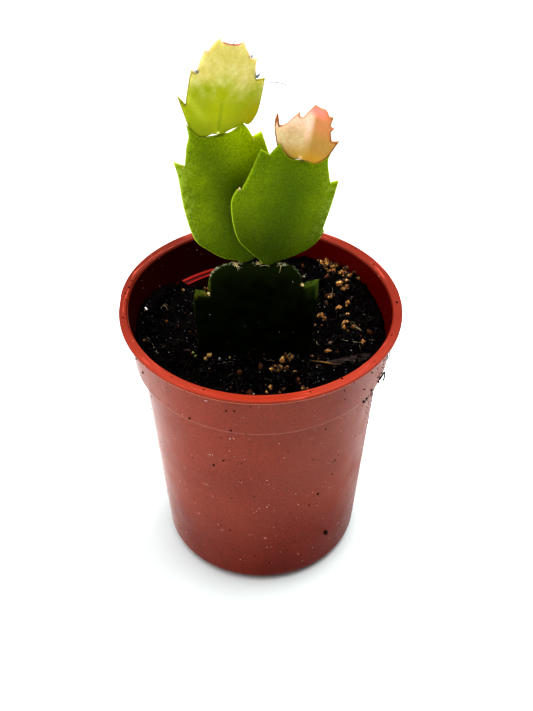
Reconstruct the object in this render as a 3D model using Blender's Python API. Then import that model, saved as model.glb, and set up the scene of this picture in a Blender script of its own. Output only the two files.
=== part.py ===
"""A young Thanksgiving cactus planted in a small moulded nursery pot.

The plant is five flat, toothed stem segments that face -Y, the lowest one standing in the potting soil. The
origin is the middle of the pot's base, on the surface that it stands on. Sizes and places are in millimetres,
and MM turns them into Blender's metres where a mesh is made.
"""

import math
import random
from functools import partial

import bmesh
import bpy
from mathutils import Vector, noise

MM = 0.001
GAP = 0.3

POT_HEIGHT = 75.0
RIM_RADIUS = 35.0
LIP_WIDTH = 2.4
LIP_HEIGHT = 1.3
LIP_EDGE = 0.4
WALL = 1.0
BAND_TOP_RADIUS = 33.2
BAND_FOOT_RADIUS = 32.0
BAND_HEIGHT = 13.3
BAND_EDGE = 0.3
WALL_TOP_RADIUS = 30.2
BASE_RADIUS = 25.7
BASE_ROUNDING = 3.5
LEDGE_HEIGHT = 64.3
LEDGE_EDGE = 0.4
FOOT_RING_OUTER = 22.2
FOOT_RING_INNER = 19.0
FOOT_RING_SLOPE = 0.6
FOOT_HEIGHT = 1.2
FLOOR_THICKNESS = 1.2
POT_SIDES = 48
DRAIN_HOLES = 6
DRAIN_HOLE_DIAMETER = 4.4
DRAIN_CIRCLE_RADIUS = 13.0
DRAIN_HOLE_SIDES = 12
DRAIN_DRILL_DEPTH = 6.0
PROFILE_MERGE = 0.001

SOIL_LEVEL = 66.8
SOIL_CELL = 2.4
CRUMB_HEIGHT = 0.9
COARSE_CRUMBS_PER_MM = 0.42
FINE_CRUMBS_PER_MM = 0.9
FINE_CRUMB_SHARE = 0.6
GRAIN_SIZE = 0.95
GRAIN_RISE = 0.25
GRAIN_REACH = 27.5
GRAIN_CLEARANCE = 3.1
PLANT_HALF_WIDTH = 17.0

CORNER = "corner"
TIP = "tip"
NOTCH = "notch"
BEND = "bend"

# Each outline runs from the joint up the left margin, over the top and down the right margin, as across and
# up from the segment's joint. A bend is a point on a round stretch, and the other points are sharp.
BASE_OUTLINE = (
    (-2.0, -39.4, CORNER),
    (-5.2, -38.5, BEND),
    (-9.8, -35.0, BEND),
    (-13.2, -30.0, BEND),
    (-14.5, -25.0, BEND),
    (-15.1, -17.8, BEND),
    (-15.3, -11.5, BEND),
    (-14.8, -8.1, TIP),
    (-11.6, -8.9, NOTCH),
    (-11.5, -5.2, BEND),
    (-9.6, -1.7, BEND),
    (-6.0, -0.2, BEND),
    (-2.0, 0.0, BEND),
    (3.8, 0.0, BEND),
    (7.9, -0.8, BEND),
    (10.1, -3.3, BEND),
    (10.7, -6.3, NOTCH),
    (14.7, -5.0, TIP),
    (14.4, -12.0, BEND),
    (13.8, -19.3, BEND),
    (13.2, -26.0, BEND),
    (11.6, -31.5, BEND),
    (7.8, -36.4, BEND),
    (4.4, -38.6, BEND),
    (2.0, -39.4, CORNER),
)
LEFT_OUTLINE = (
    (-1.2, 0.0, CORNER),
    (-1.8, 0.6, BEND),
    (-4.9, 2.2, BEND),
    (-7.9, 5.3, BEND),
    (-10.4, 9.2, BEND),
    (-11.0, 17.5, BEND),
    (-10.5, 26.0, BEND),
    (-10.7, 30.2, TIP),
    (-8.4, 28.5, NOTCH),
    (-7.1, 33.0, BEND),
    (-6.1, 35.4, BEND),
    (-6.0, 38.6, TIP),
    (-4.8, 36.0, BEND),
    (-3.3, 34.6, BEND),
    (-1.2, 34.2, BEND),
    (1.0, 34.1, BEND),
    (3.2, 34.0, BEND),
    (6.1, 35.3, TIP),
    (7.0, 33.4, BEND),
    (7.6, 31.3, NOTCH),
    (9.8, 31.9, TIP),
    (10.4, 26.5, BEND),
    (11.1, 20.0, BEND),
    (10.7, 12.0, BEND),
    (8.6, 6.4, BEND),
    (5.5, 2.7, BEND),
    (2.9, 0.9, BEND),
    (1.8, 0.0, CORNER),
)
RIGHT_OUTLINE = (
    (-1.3, 0.0, CORNER),
    (-2.1, 0.9, BEND),
    (-4.9, 2.9, BEND),
    (-8.1, 5.7, BEND),
    (-10.6, 10.0, BEND),
    (-12.8, 16.5, BEND),
    (-12.4, 20.1, TIP),
    (-11.3, 20.2, NOTCH),
    (-10.5, 24.2, BEND),
    (-9.6, 31.2, TIP),
    (-7.2, 29.9, NOTCH),
    (-5.7, 32.9, TIP),
    (-4.2, 30.9, BEND),
    (-2.2, 29.4, BEND),
    (0.6, 29.2, BEND),
    (3.2, 29.2, BEND),
    (4.8, 29.8, BEND),
    (6.3, 31.7, TIP),
    (6.3, 29.8, BEND),
    (8.4, 24.5, NOTCH),
    (10.1, 25.4, TIP),
    (10.4, 19.0, BEND),
    (10.4, 12.0, NOTCH),
    (10.9, 11.2, TIP),
    (9.9, 7.6, BEND),
    (7.9, 4.9, BEND),
    (4.6, 2.1, BEND),
    (2.0, 0.8, BEND),
    (1.3, 0.0, CORNER),
)
LEFT_TIP_OUTLINE = (
    (-1.1, 0.0, CORNER),
    (-2.2, -0.3, BEND),
    (-3.5, -0.4, BEND),
    (-4.7, 0.0, BEND),
    (-5.6, 0.9, BEND),
    (-6.6, 2.3, BEND),
    (-8.5, 5.8, BEND),
    (-9.6, 8.4, TIP),
    (-7.6, 6.5, NOTCH),
    (-7.5, 10.4, BEND),
    (-7.2, 14.7, TIP),
    (-6.1, 14.0, NOTCH),
    (-5.5, 17.2, BEND),
    (-4.8, 19.6, TIP),
    (-4.2, 19.0, NOTCH),
    (-3.2, 21.0, BEND),
    (-1.9, 22.6, TIP),
    (-1.4, 21.6, NOTCH),
    (0.5, 21.2, BEND),
    (2.3, 21.3, BEND),
    (3.1, 22.2, TIP),
    (3.8, 20.7, BEND),
    (5.2, 18.2, NOTCH),
    (6.5, 18.2, TIP),
    (6.5, 15.8, BEND),
    (6.9, 13.2, NOTCH),
    (8.8, 13.6, TIP),
    (8.6, 8.6, BEND),
    (8.2, 5.4, BEND),
    (7.2, 3.2, BEND),
    (6.3, 2.5, BEND),
    (5.5, 2.9, NOTCH),
    (4.0, 1.8, BEND),
    (2.4, 1.0, BEND),
    (1.1, 0.0, CORNER),
)
RIGHT_TIP_OUTLINE = (
    (-1.0, 0.0, CORNER),
    (-2.3, 0.35, BEND),
    (-3.9, 1.4, BEND),
    (-5.4, 2.7, BEND),
    (-6.3, 4.6, BEND),
    (-7.1, 7.6, BEND),
    (-7.2, 9.6, BEND),
    (-6.9, 11.1, TIP),
    (-6.1, 7.9, NOTCH),
    (-4.9, 8.4, BEND),
    (-3.8, 10.0, BEND),
    (-2.4, 11.8, TIP),
    (-2.3, 10.6, BEND),
    (-1.5, 10.4, NOTCH),
    (-1.0, 11.6, BEND),
    (0.4, 14.0, TIP),
    (1.6, 13.8, BEND),
    (3.1, 13.9, BEND),
    (4.0, 12.7, NOTCH),
    (5.0, 13.1, TIP),
    (4.7, 10.7, NOTCH),
    (5.7, 10.6, TIP),
    (5.1, 9.3, BEND),
    (5.7, 7.4, NOTCH),
    (7.3, 8.3, TIP),
    (6.3, 5.8, BEND),
    (5.0, 3.3, BEND),
    (3.0, 0.9, BEND),
    (1.0, 0.0, CORNER),
)

OUTLINE_STEP = 1.6
BLADE_CELL = 2.2
CELL_SNAP = 0.3
MARGIN_REACH = 6.0
NUB_HEIGHT = 0.35
NUB_REACH = 2.0

# A segment's thickness in its middle and at its margin.
BASE_THICKNESS = (2.9, 1.5)
GREEN_THICKNESS = (2.4, 1.0)
LEFT_TIP_THICKNESS = (1.8, 0.8)
RIGHT_TIP_THICKNESS = (1.3, 0.7)

# How far a segment's margins bend back from its middle, or forward below 0, and how far across
# they lie.
LEFT_BOW = (0.6, 11.0)
RIGHT_BOW = (-0.6, 11.0)
LEFT_TIP_BOW = (0.5, 8.0)
FOLD_SLOPE = 0.36
FOLD_ROUNDING = 0.8

# Where each segment's joint lies in its parent, and its turn, tilt and lean there in degrees.
BASE_TOP = (-0.8, -7.0, 93.55)
LEFT_JOINT = (-2.6, 0.5, GAP)
LEFT_ANGLES = (12.0, 3.0, -9.7)
RIGHT_JOINT = (2.2, -0.5, GAP)
RIGHT_ANGLES = (10.0, -3.0, 14.3)
LEFT_TIP_JOINT = (0.2, 0.0, 34.4)
LEFT_TIP_ANGLES = (-4.0, -1.0, 17.7)
RIGHT_TIP_JOINT = (0.6, 0.0, 29.55)
RIGHT_TIP_ANGLES = (-26.0, -2.0, -6.0)

SLOT_TOP = -14.0
SLOT_GROWTH = 0.35

# A shallow mound or hollow of the soil: across, away from the viewer, height and reach.
SOIL_MOUNDS = (
    (21.0, 21.0, 2.9, 13.0),
    (-29.0, 9.0, 2.0, 8.0),
    (-14.0, 26.0, -6.0, 8.0),
)

CHIP_PLACE = (21.8, -10.2)
CHIP_TURN = 14.0
CHIP_LENGTH = 11.5
CHIP_WIDTH = 3.6
CHIP_THICKNESS = 0.9
CHIP_ARCH = 0.3
CHIP_BED_REACH = 7.5

# A cluster of grains: across, away from the viewer, its spread both ways and how many there are.
GRAIN_CLUSTERS = (
    (18.5, 23.0, 3.2, 3.4, 8),
    (22.8, 19.5, 2.2, 2.4, 5),
    (20.5, 14.0, 2.4, 3.4, 5),
    (21.0, 3.5, 2.4, 3.0, 5),
    (14.6, 3.6, 1.0, 2.4, 2),
    (6.2, -10.8, 1.3, 1.2, 4),
    (4.6, -14.4, 2.2, 1.0, 4),
    (9.6, -18.8, 1.6, 2.6, 3),
    (1.8, -22.0, 0.9, 0.9, 2),
    (15.2, -7.0, 3.0, 1.8, 3),
    (-20.6, 16.6, 1.4, 1.2, 2),
    (-15.6, 21.0, 1.8, 1.0, 4),
    (-15.0, -10.6, 3.4, 0.8, 2),
    (-28.0, -3.0, 1.2, 2.4, 2),
)


def clear_scene():
    for obj in list(bpy.data.objects):
        bpy.data.objects.remove(obj)


def material(name, colour, roughness):
    """A Principled BSDF of one colour, given as linear red, green and blue."""
    made = bpy.data.materials.new(name)
    made.use_nodes = True
    shader = made.node_tree.nodes["Principled BSDF"]
    shader.inputs["Base Color"].default_value = (*colour, 1.0)
    shader.inputs["Roughness"].default_value = roughness
    made.diffuse_color = (*colour, 1.0)
    return made


def add_object(name, bm, made_of=None):
    bmesh.ops.recalc_face_normals(bm, faces=bm.faces[:])
    mesh = bpy.data.meshes.new(name)
    bm.to_mesh(mesh)
    bm.free()
    obj = bpy.data.objects.new(name, mesh)
    bpy.context.scene.collection.objects.link(obj)
    if made_of:
        mesh.materials.append(made_of)
    return obj


def hide_helper(obj):
    obj.hide_render = True
    obj.display_type = "WIRE"


def add_boolean(obj, operation, other):
    """Cuts obj with other, or keeps what both share, and hides other."""
    modifier = obj.modifiers.new(operation.lower(), "BOOLEAN")
    modifier.operation = operation
    modifier.solver = "EXACT"
    modifier.object = other
    hide_helper(other)


def arc(centre, radius, start, end, steps):
    """Points of an arc in the profile's plane, with its angles in degrees from the outward direction."""
    points = []
    for k in range(steps + 1):
        angle = math.radians(start + (end - start) * k / steps)
        points.append((centre[0] + radius * math.cos(angle), centre[1] + radius * math.sin(angle)))
    return points


def turned(name, profile, sides, made_of=None):
    """A closed body from a profile of radius and height that starts and ends on the axis."""
    bm = bmesh.new()
    rings = [bm.verts.new((radius * MM, 0.0, height * MM)) for radius, height in profile]
    edges = [bm.edges.new(pair) for pair in zip(rings, rings[1:])]
    bmesh.ops.spin(
        bm, geom=rings + edges, axis=(0.0, 0.0, 1.0), cent=(0.0, 0.0, 0.0), steps=sides, angle=math.tau
    )
    bmesh.ops.remove_doubles(bm, verts=bm.verts[:], dist=PROFILE_MERGE * MM)
    return add_object(name, bm, made_of)


def wall_radius(height):
    """The outer radius of the tapered wall below the band."""
    share = (height - BASE_ROUNDING) / (POT_HEIGHT - BAND_HEIGHT - BASE_ROUNDING)
    return BASE_RADIUS + (WALL_TOP_RADIUS - BASE_RADIUS) * share


def inner_profile(shrink):
    """The inside of the pot from the rim to the middle of its floor, drawn in by shrink."""
    floor = FOOT_HEIGHT + FLOOR_THICKNESS
    rounding = BASE_ROUNDING - WALL
    lower_top = wall_radius(LEDGE_HEIGHT) - WALL - shrink
    lower_foot = wall_radius(floor + rounding) - WALL - shrink
    band_top = RIM_RADIUS - LIP_WIDTH - shrink
    band_foot = BAND_FOOT_RADIUS - WALL - shrink
    points = [
        (band_foot, LEDGE_HEIGHT + shrink + LEDGE_EDGE),
        (band_foot - LEDGE_EDGE, LEDGE_HEIGHT + shrink),
        (lower_top + LEDGE_EDGE, LEDGE_HEIGHT + shrink),
        (lower_top, LEDGE_HEIGHT + shrink - LEDGE_EDGE),
    ]
    points += arc((lower_foot - rounding, floor + rounding + shrink), rounding, 0.0, -90.0, 3)
    points.append((0.0, floor + shrink))
    return band_top, points


def build_pot(plastic):
    """The pot: a foot ring, a tapered wall, the wider band at its top and the lip, with drain holes."""
    band_foot = POT_HEIGHT - BAND_HEIGHT
    lip_foot = POT_HEIGHT - LIP_HEIGHT
    outside = [(0.0, FOOT_HEIGHT), (FOOT_RING_INNER - FOOT_RING_SLOPE, FOOT_HEIGHT), (FOOT_RING_INNER, 0.0)]
    outside += arc((FOOT_RING_OUTER, BASE_ROUNDING), BASE_ROUNDING, -90.0, 0.0, 4)
    outside += [
        (WALL_TOP_RADIUS, band_foot - BAND_EDGE),
        (BAND_FOOT_RADIUS - BAND_EDGE, band_foot - BAND_EDGE),
        (BAND_FOOT_RADIUS, band_foot),
        (BAND_TOP_RADIUS, lip_foot),
        (RIM_RADIUS - LIP_EDGE, lip_foot),
        (RIM_RADIUS, lip_foot + LIP_EDGE),
        (RIM_RADIUS, POT_HEIGHT - LIP_EDGE),
        (RIM_RADIUS - LIP_EDGE, POT_HEIGHT),
    ]
    band_top, inside = inner_profile(0.0)
    lip = [(band_top + LIP_EDGE, POT_HEIGHT), (band_top, POT_HEIGHT - LIP_EDGE)]
    pot = turned("pot", outside + lip + inside, POT_SIDES, plastic)
    add_boolean(pot, "DIFFERENCE", drain_drills())
    pot.data.shade_smooth()
    pot.data.set_sharp_from_angle(angle=math.radians(35.0))
    return pot


def drain_drills():
    """The round cutters of the drain holes, evenly on a circle in the floor."""
    bm = bmesh.new()
    for k in range(DRAIN_HOLES):
        angle = math.tau * k / DRAIN_HOLES
        made = bmesh.ops.create_cone(
            bm,
            cap_ends=True,
            segments=DRAIN_HOLE_SIDES,
            radius1=DRAIN_HOLE_DIAMETER / 2 * MM,
            radius2=DRAIN_HOLE_DIAMETER / 2 * MM,
            depth=DRAIN_DRILL_DEPTH * MM,
        )
        place = Vector((math.cos(angle), math.sin(angle), 0.0)) * DRAIN_CIRCLE_RADIUS
        place.z = FOOT_HEIGHT + FLOOR_THICKNESS / 2
        bmesh.ops.translate(bm, verts=made["verts"], vec=place * MM)
    return add_object("drain_drills", bm)


def soil_height(x, y):
    """The height of the potting soil's top: mounds and hollows, crumbs, and a smooth bed under the chip."""
    level = SOIL_LEVEL
    for mound_x, mound_y, height, reach in SOIL_MOUNDS:
        level += height * math.exp(-((x - mound_x) ** 2 + (y - mound_y) ** 2) / reach**2)
    crumbs = noise.noise(Vector((x, y, 4.0)) * COARSE_CRUMBS_PER_MM)
    crumbs += FINE_CRUMB_SHARE * noise.noise(Vector((x, y, 5.7)) * FINE_CRUMBS_PER_MM)
    chip_x, chip_y = CHIP_PLACE
    bed = math.exp(-(((x - chip_x) ** 2 + (y - chip_y) ** 2) / CHIP_BED_REACH**2) ** 3)
    return level + CRUMB_HEIGHT * crumbs * (1.0 - bed)


def soil_block():
    """A square block with the crumbly top, which the pot's inside then trims."""
    half = RIM_RADIUS
    cells = round(2 * half / SOIL_CELL)
    bm = bmesh.new()
    bmesh.ops.create_grid(bm, x_segments=cells, y_segments=cells, size=half * MM)
    top = list(bm.verts)
    for vert in top:
        vert.co.z = soil_height(vert.co.x / MM, vert.co.y / MM) * MM
    bmesh.ops.triangulate(bm, faces=bm.faces[:])
    sides = bmesh.ops.extrude_face_region(bm, geom=bm.faces[:])
    for vert in (item for item in sides["geom"] if isinstance(item, bmesh.types.BMVert)):
        vert.co.z = 0.0
    return bm


def pot_room():
    """The inside of the pot less the clearance, up to above the soil."""
    band_top, inside = inner_profile(GAP)
    return turned("pot_room", [(0.0, POT_HEIGHT), (band_top, POT_HEIGHT)] + inside, POT_SIDES)


def soil_grains():
    """Grains half sunk in the soil, in loose clusters, each a jittered ball of twenty faces."""
    draw = random.Random(11)
    grains = bpy.data.collections.new("grains")
    bpy.context.scene.collection.children.link(grains)
    for centre_x, centre_y, spread_x, spread_y, count in GRAIN_CLUSTERS:
        for _ in range(count):
            x = centre_x + draw.uniform(-spread_x, spread_x)
            y = centre_y + draw.uniform(-spread_y, spread_y)
            inwards = min(1.0, GRAIN_REACH / math.hypot(x, y))
            x, y = x * inwards, y * inwards
            if abs(x - BASE_TOP[0]) < PLANT_HALF_WIDTH and abs(y - BASE_TOP[1]) < GRAIN_CLEARANCE:
                y = BASE_TOP[1] - GRAIN_CLEARANCE
            bm = bmesh.new()
            bmesh.ops.create_icosphere(bm, subdivisions=1, radius=GRAIN_SIZE * draw.uniform(0.8, 1.15) * MM)
            bmesh.ops.scale(bm, vec=(1.0, draw.uniform(0.7, 1.0), 0.85), verts=bm.verts[:])
            for vert in bm.verts:
                vert.co *= draw.uniform(0.9, 1.1)
            grain = add_object("grain", bm)
            grain.location = Vector((x, y, soil_height(x, y) + GRAIN_RISE)) * MM
            bpy.context.scene.collection.objects.unlink(grain)
            grains.objects.link(grain)
    return grains


def join_repeats(obj, repeats):
    """Unites a collection of small solids with obj for good, and removes the collection's objects."""
    modifier = obj.modifiers.new("join", "BOOLEAN")
    modifier.operation = "UNION"
    modifier.operand_type = "COLLECTION"
    modifier.collection = repeats
    modifier.solver = "MANIFOLD"
    apply_modifiers(obj)
    for repeat in list(repeats.objects):
        bpy.data.objects.remove(repeat)
    bpy.data.collections.remove(repeats)


def apply_modifiers(obj):
    graph = bpy.context.evaluated_depsgraph_get()
    finished = bpy.data.meshes.new_from_object(obj.evaluated_get(graph))
    obj.modifiers.clear()
    obj.data = finished


def build_soil(peat):
    """The soil: what fills the pot up to the crumbly top, with the grains in it and a slot for the plant."""
    soil = add_object("soil", soil_block(), peat)
    room = pot_room()
    add_boolean(soil, "INTERSECT", room)
    slot = slot_cutter()
    add_boolean(soil, "DIFFERENCE", slot)
    apply_modifiers(soil)
    for helper in (room, slot):
        bpy.data.objects.remove(helper)
    join_repeats(soil, soil_grains())
    return soil


def curve_between(before, start, end, after, steps):
    """Points from start up to but not including end, on the Catmull-Rom curve through the four points."""
    points = []
    for k in range(steps):
        t = k / steps
        point = []
        for a, b, c, d in zip(before, start, end, after):
            slope = (c - a) / 2
            next_slope = (d - b) / 2
            point.append(
                b
                + slope * t
                + (3 * (c - b) - 2 * slope - next_slope) * t**2
                + (2 * (b - c) + slope + next_slope) * t**3
            )
        points.append(tuple(point))
    return points


def drawn_outline(points, step):
    """The closed outline as points about a step apart, with its round stretches drawn as curves."""
    drawn = []
    count = len(points)
    for k in range(count):
        start, end = points[k], points[(k + 1) % count]
        before = points[k - 1] if start[2] == BEND else start
        after = points[(k + 2) % count] if end[2] == BEND else end
        straight = start[2] != BEND and end[2] != BEND
        length = math.dist(start[:2], end[:2])
        steps = 1 if straight and length < 2 * step else max(1, round(length / step))
        drawn += curve_between(before[:2], start[:2], end[:2], after[:2], steps)
    return drawn


def distance_to_outline(point, outline):
    """The distance from a point to the nearest side of the closed outline."""
    best = math.inf
    for start, end in zip(outline, outline[1:] + outline[:1]):
        along = (end[0] - start[0], end[1] - start[1])
        share = (point[0] - start[0]) * along[0] + (point[1] - start[1]) * along[1]
        share = min(1.0, max(0.0, share / (along[0] ** 2 + along[1] ** 2)))
        foot = (start[0] + share * along[0], start[1] + share * along[1])
        best = min(best, math.dist(point, foot))
    return best


def half_thickness(u, v, outline, thickness):
    """Half the blade's thickness, which swells from its margin to its middle, with a nub at the joint."""
    middle, margin = thickness
    inwards = min(1.0, distance_to_outline((u, v), outline) / MARGIN_REACH)
    swelling = inwards * (2.0 - inwards)
    nub = NUB_HEIGHT * math.exp(-(u**2 + v**2) / NUB_REACH**2)
    return (margin + (middle - margin) * swelling) / 2 + nub


def blade_mesh(outline, half, bow):
    """A flat solid with the toothed outline, cut into small triangles, then thickened by half and bent."""
    bm = bmesh.new()
    rim = [bm.verts.new((u * MM, 0.0, v * MM)) for u, v in outline]
    bm.faces.new(rim)
    for axis, normal in ((0, (1.0, 0.0, 0.0)), (1, (0.0, 0.0, 1.0))):
        low = min(point[axis] for point in outline)
        high = max(point[axis] for point in outline)
        for k in range(math.ceil(low / BLADE_CELL), math.floor(high / BLADE_CELL) + 1):
            bmesh.ops.bisect_plane(
                bm,
                geom=bm.verts[:] + bm.edges[:] + bm.faces[:],
                dist=CELL_SNAP * MM,
                plane_co=Vector(normal) * k * BLADE_CELL * MM,
                plane_no=normal,
            )
    bmesh.ops.triangulate(bm, faces=bm.faces[:])
    front = list(bm.verts)
    bmesh.ops.extrude_face_region(bm, geom=bm.faces[:])
    for vert in bm.verts:
        u, v = vert.co.x / MM, vert.co.z / MM
        vert.co.y = half(u, v) * MM
    for vert in front:
        vert.co.y *= -1.0
    for vert in bm.verts:
        vert.co.y += bow(vert.co.x / MM, vert.co.z / MM) * MM
    return bm


def add_segment(name, points, thickness, bow, made_of):
    """One flat stem segment, with its joint at the object's origin."""
    outline = drawn_outline(points, OUTLINE_STEP)
    half = partial(half_thickness, outline=outline, thickness=thickness)
    segment = add_object(name, blade_mesh(outline, half, bow), made_of)
    segment.data.shade_smooth()
    segment.data.set_sharp_from_angle(angle=math.radians(50.0))
    return segment


def hang_on(segment, parent, place, angles):
    """Places a segment at its parent's joint: turned about its length, tilted back, then leaned to its right."""
    turn, tilt, lean = angles
    segment.parent = parent
    segment.location = Vector(place) * MM
    segment.rotation_mode = "YXZ"
    segment.rotation_euler = (math.radians(-tilt), math.radians(lean), math.radians(turn))


def flat(u, v):
    return 0.0


def bowed(depth, half_width):
    """The rule of a blade whose margins lie depth behind its middle at half_width to either side."""
    return lambda u, v: depth * (u / half_width) ** 2


def folded_forward(u, v):
    """A young segment's two halves, folded forward along its middle."""
    return -FOLD_SLOPE * (math.hypot(u, FOLD_ROUNDING) - FOLD_ROUNDING)


def slot_cutter():
    """The planted end of the lowest segment grown by the clearance: the plain slot that it stands in."""
    drawn = drawn_outline(BASE_OUTLINE, OUTLINE_STEP)
    planted = [(u + math.copysign(SLOT_GROWTH, u), v - GAP) for u, v in drawn if v < SLOT_TOP]

    def half(u, v):
        return half_thickness(u, v, drawn, BASE_THICKNESS) + SLOT_GROWTH

    cutter = add_object("slot_cutter", blade_mesh(planted, half, flat))
    cutter.location = Vector(BASE_TOP) * MM
    return cutter


def build_plant(woody, green, yellow_green, blush):
    """The five segments: the planted one, two on its top edge, and a young one on each of those."""
    base = add_segment("base_segment", BASE_OUTLINE, BASE_THICKNESS, flat, woody)
    base.location = Vector(BASE_TOP) * MM
    left = add_segment("left_segment", LEFT_OUTLINE, GREEN_THICKNESS, bowed(*LEFT_BOW), green)
    hang_on(left, base, LEFT_JOINT, LEFT_ANGLES)
    right = add_segment("right_segment", RIGHT_OUTLINE, GREEN_THICKNESS, bowed(*RIGHT_BOW), green)
    hang_on(right, base, RIGHT_JOINT, RIGHT_ANGLES)
    left_tip = add_segment(
        "left_tip_segment", LEFT_TIP_OUTLINE, LEFT_TIP_THICKNESS, bowed(*LEFT_TIP_BOW), yellow_green
    )
    hang_on(left_tip, left, LEFT_TIP_JOINT, LEFT_TIP_ANGLES)
    right_tip = add_segment("right_tip_segment", RIGHT_TIP_OUTLINE, RIGHT_TIP_THICKNESS, folded_forward, blush)
    hang_on(right_tip, right, RIGHT_TIP_JOINT, RIGHT_TIP_ANGLES)


def build_chip(bark):
    """A dark flake of bark on the soil near the front right wall: a thin pointed plate, a little arched."""
    bm = bmesh.new()
    bmesh.ops.create_icosphere(bm, subdivisions=2, radius=0.5 * MM)
    bmesh.ops.scale(bm, vec=(CHIP_LENGTH, CHIP_WIDTH, CHIP_THICKNESS), verts=bm.verts[:])
    for vert in bm.verts:
        share = 2.0 * vert.co.x / (CHIP_LENGTH * MM)
        vert.co.z += CHIP_ARCH * share**2 * MM
    chip = add_object("bark_chip", bm, bark)
    x, y = CHIP_PLACE
    chip.location = Vector((x, y, soil_height(x, y) + GAP + CHIP_THICKNESS / 2)) * MM
    chip.rotation_euler = (0.0, 0.0, math.radians(CHIP_TURN))
    return chip


def build():
    clear_scene()
    build_pot(material("red plastic", (0.42, 0.055, 0.025), 0.35))
    build_soil(material("potting soil", (0.012, 0.009, 0.007), 0.9))
    build_plant(
        material("old segment", (0.012, 0.045, 0.008), 0.4),
        material("green segment", (0.14, 0.26, 0.005), 0.4),
        material("young green segment", (0.45, 0.5, 0.03), 0.4),
        material("blush segment", (0.75, 0.42, 0.2), 0.4),
    )
    build_chip(material("bark", (0.03, 0.02, 0.015), 0.8))


build()
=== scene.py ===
import math
import random

import bmesh
import bpy
import numpy as np
from mathutils import Euler, Matrix, Vector, noise


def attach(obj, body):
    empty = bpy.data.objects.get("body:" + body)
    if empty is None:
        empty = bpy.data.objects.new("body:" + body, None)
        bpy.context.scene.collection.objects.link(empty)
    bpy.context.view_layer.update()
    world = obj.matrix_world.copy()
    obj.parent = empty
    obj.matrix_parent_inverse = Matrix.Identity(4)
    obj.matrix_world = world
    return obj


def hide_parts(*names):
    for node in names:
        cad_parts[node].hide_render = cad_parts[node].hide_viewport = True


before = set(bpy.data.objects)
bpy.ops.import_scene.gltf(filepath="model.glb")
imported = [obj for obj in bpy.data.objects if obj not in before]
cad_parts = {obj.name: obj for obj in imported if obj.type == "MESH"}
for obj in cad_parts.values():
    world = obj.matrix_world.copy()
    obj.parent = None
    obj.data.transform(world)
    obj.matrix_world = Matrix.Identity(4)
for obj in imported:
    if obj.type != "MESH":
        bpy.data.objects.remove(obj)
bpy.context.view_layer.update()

# The nursery pot. Brick-red polypropylene, injection moulded as one thin wall: a foot ring, a tapered side,
# the wider band under the lip, and inside it the ledge on which stacked pots rest. Six drain holes are
# moulded in.
MM = 0.001
FOOT_RING_RADIUS = 22.2
BASE_RADIUS = 25.7
BASE_ROUNDING = 3.5
BASE_ROUNDING_STEPS = 10
WALL_TOP_RADIUS = 30.2
STEP_HEIGHT = 61.4
BAND_FOOT_RADIUS = 32.0
RIM_RADIUS = 35.0
RIM_LIMIT = 34.98
POT_HEIGHT = 75.0
LEDGE_HEIGHT = 64.3
LEDGE_INNER_RADIUS = 28.85
DRAIN_HOLES = 6
DRAIN_CIRCLE_RADIUS = 13.0
DRAIN_HOLE_RADIUS = 2.2
DRILL_LENGTH = 6.0
DRILL_HEIGHT = 2.0
POT_STEPS = 160
# Radius, height and rounding of each corner: the underside, then from the wall's top over the lip to the
# ledge and the floor.
UNDERSIDE = [(0.0, 1.2, 0.0), (18.4, 1.2, 0.2), (19.0, 0.0, 0.15)]
POT_CORNERS = [
    (WALL_TOP_RADIUS, STEP_HEIGHT, 0.25), (BAND_FOOT_RADIUS, STEP_HEIGHT, 0.4), (33.2, 74.0, 0.25),
    (RIM_RADIUS, 74.0, 0.35), (RIM_RADIUS, POT_HEIGHT, 0.35), (32.6, POT_HEIGHT, 0.45),
    (31.0, LEDGE_HEIGHT, 0.2), (30.6, LEDGE_HEIGHT, 0.08), (30.4, 63.7, 0.1), (29.5, 63.7, 0.1),
    (29.3, LEDGE_HEIGHT, 0.08), (28.9, LEDGE_HEIGHT, 0.14), (24.8, 4.9, 0.0), (22.3, 2.4, 0.0),
    (0.0, 2.4, 0.0),
]


def eased(corners):
    """The profile through the corners, each rounding in short sides, held by a point on each flank."""
    points = []
    for before, corner, after in zip(corners[:1] + corners, corners, corners[1:] + corners[-1:]):
        place, rounding = Vector(corner[:2]), corner[2]
        if not rounding:
            points.append(place)
            continue
        back, ahead = Vector(before[:2]) - place, Vector(after[:2]) - place
        start = place + back.normalized() * rounding
        end = place + ahead.normalized() * rounding
        if back.length > 4 * rounding:
            points.append(place + back.normalized() * rounding * 2)
        points += [start.lerp(place, t).lerp(place.lerp(end, t), t) for t in (0.0, 0.25, 0.5, 0.75, 1.0)]
        if ahead.length > 4 * rounding:
            points.append(place + ahead.normalized() * rounding * 2)
    return points


def turned(profile, steps):
    """A closed body turned round the Z axis, from a profile that starts and ends on it."""
    bm = bmesh.new()
    line = [bm.verts.new((radius * MM, 0.0, height * MM)) for radius, height in profile]
    geom = line + [bm.edges.new(pair) for pair in zip(line, line[1:])]
    bmesh.ops.spin(bm, geom=geom, axis=(0, 0, 1), cent=(0, 0, 0), steps=steps, angle=math.tau, use_merge=True)
    bmesh.ops.remove_doubles(bm, verts=bm.verts[:], dist=0.002 * MM)
    bmesh.ops.recalc_face_normals(bm, faces=bm.faces[:])
    return bm


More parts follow.
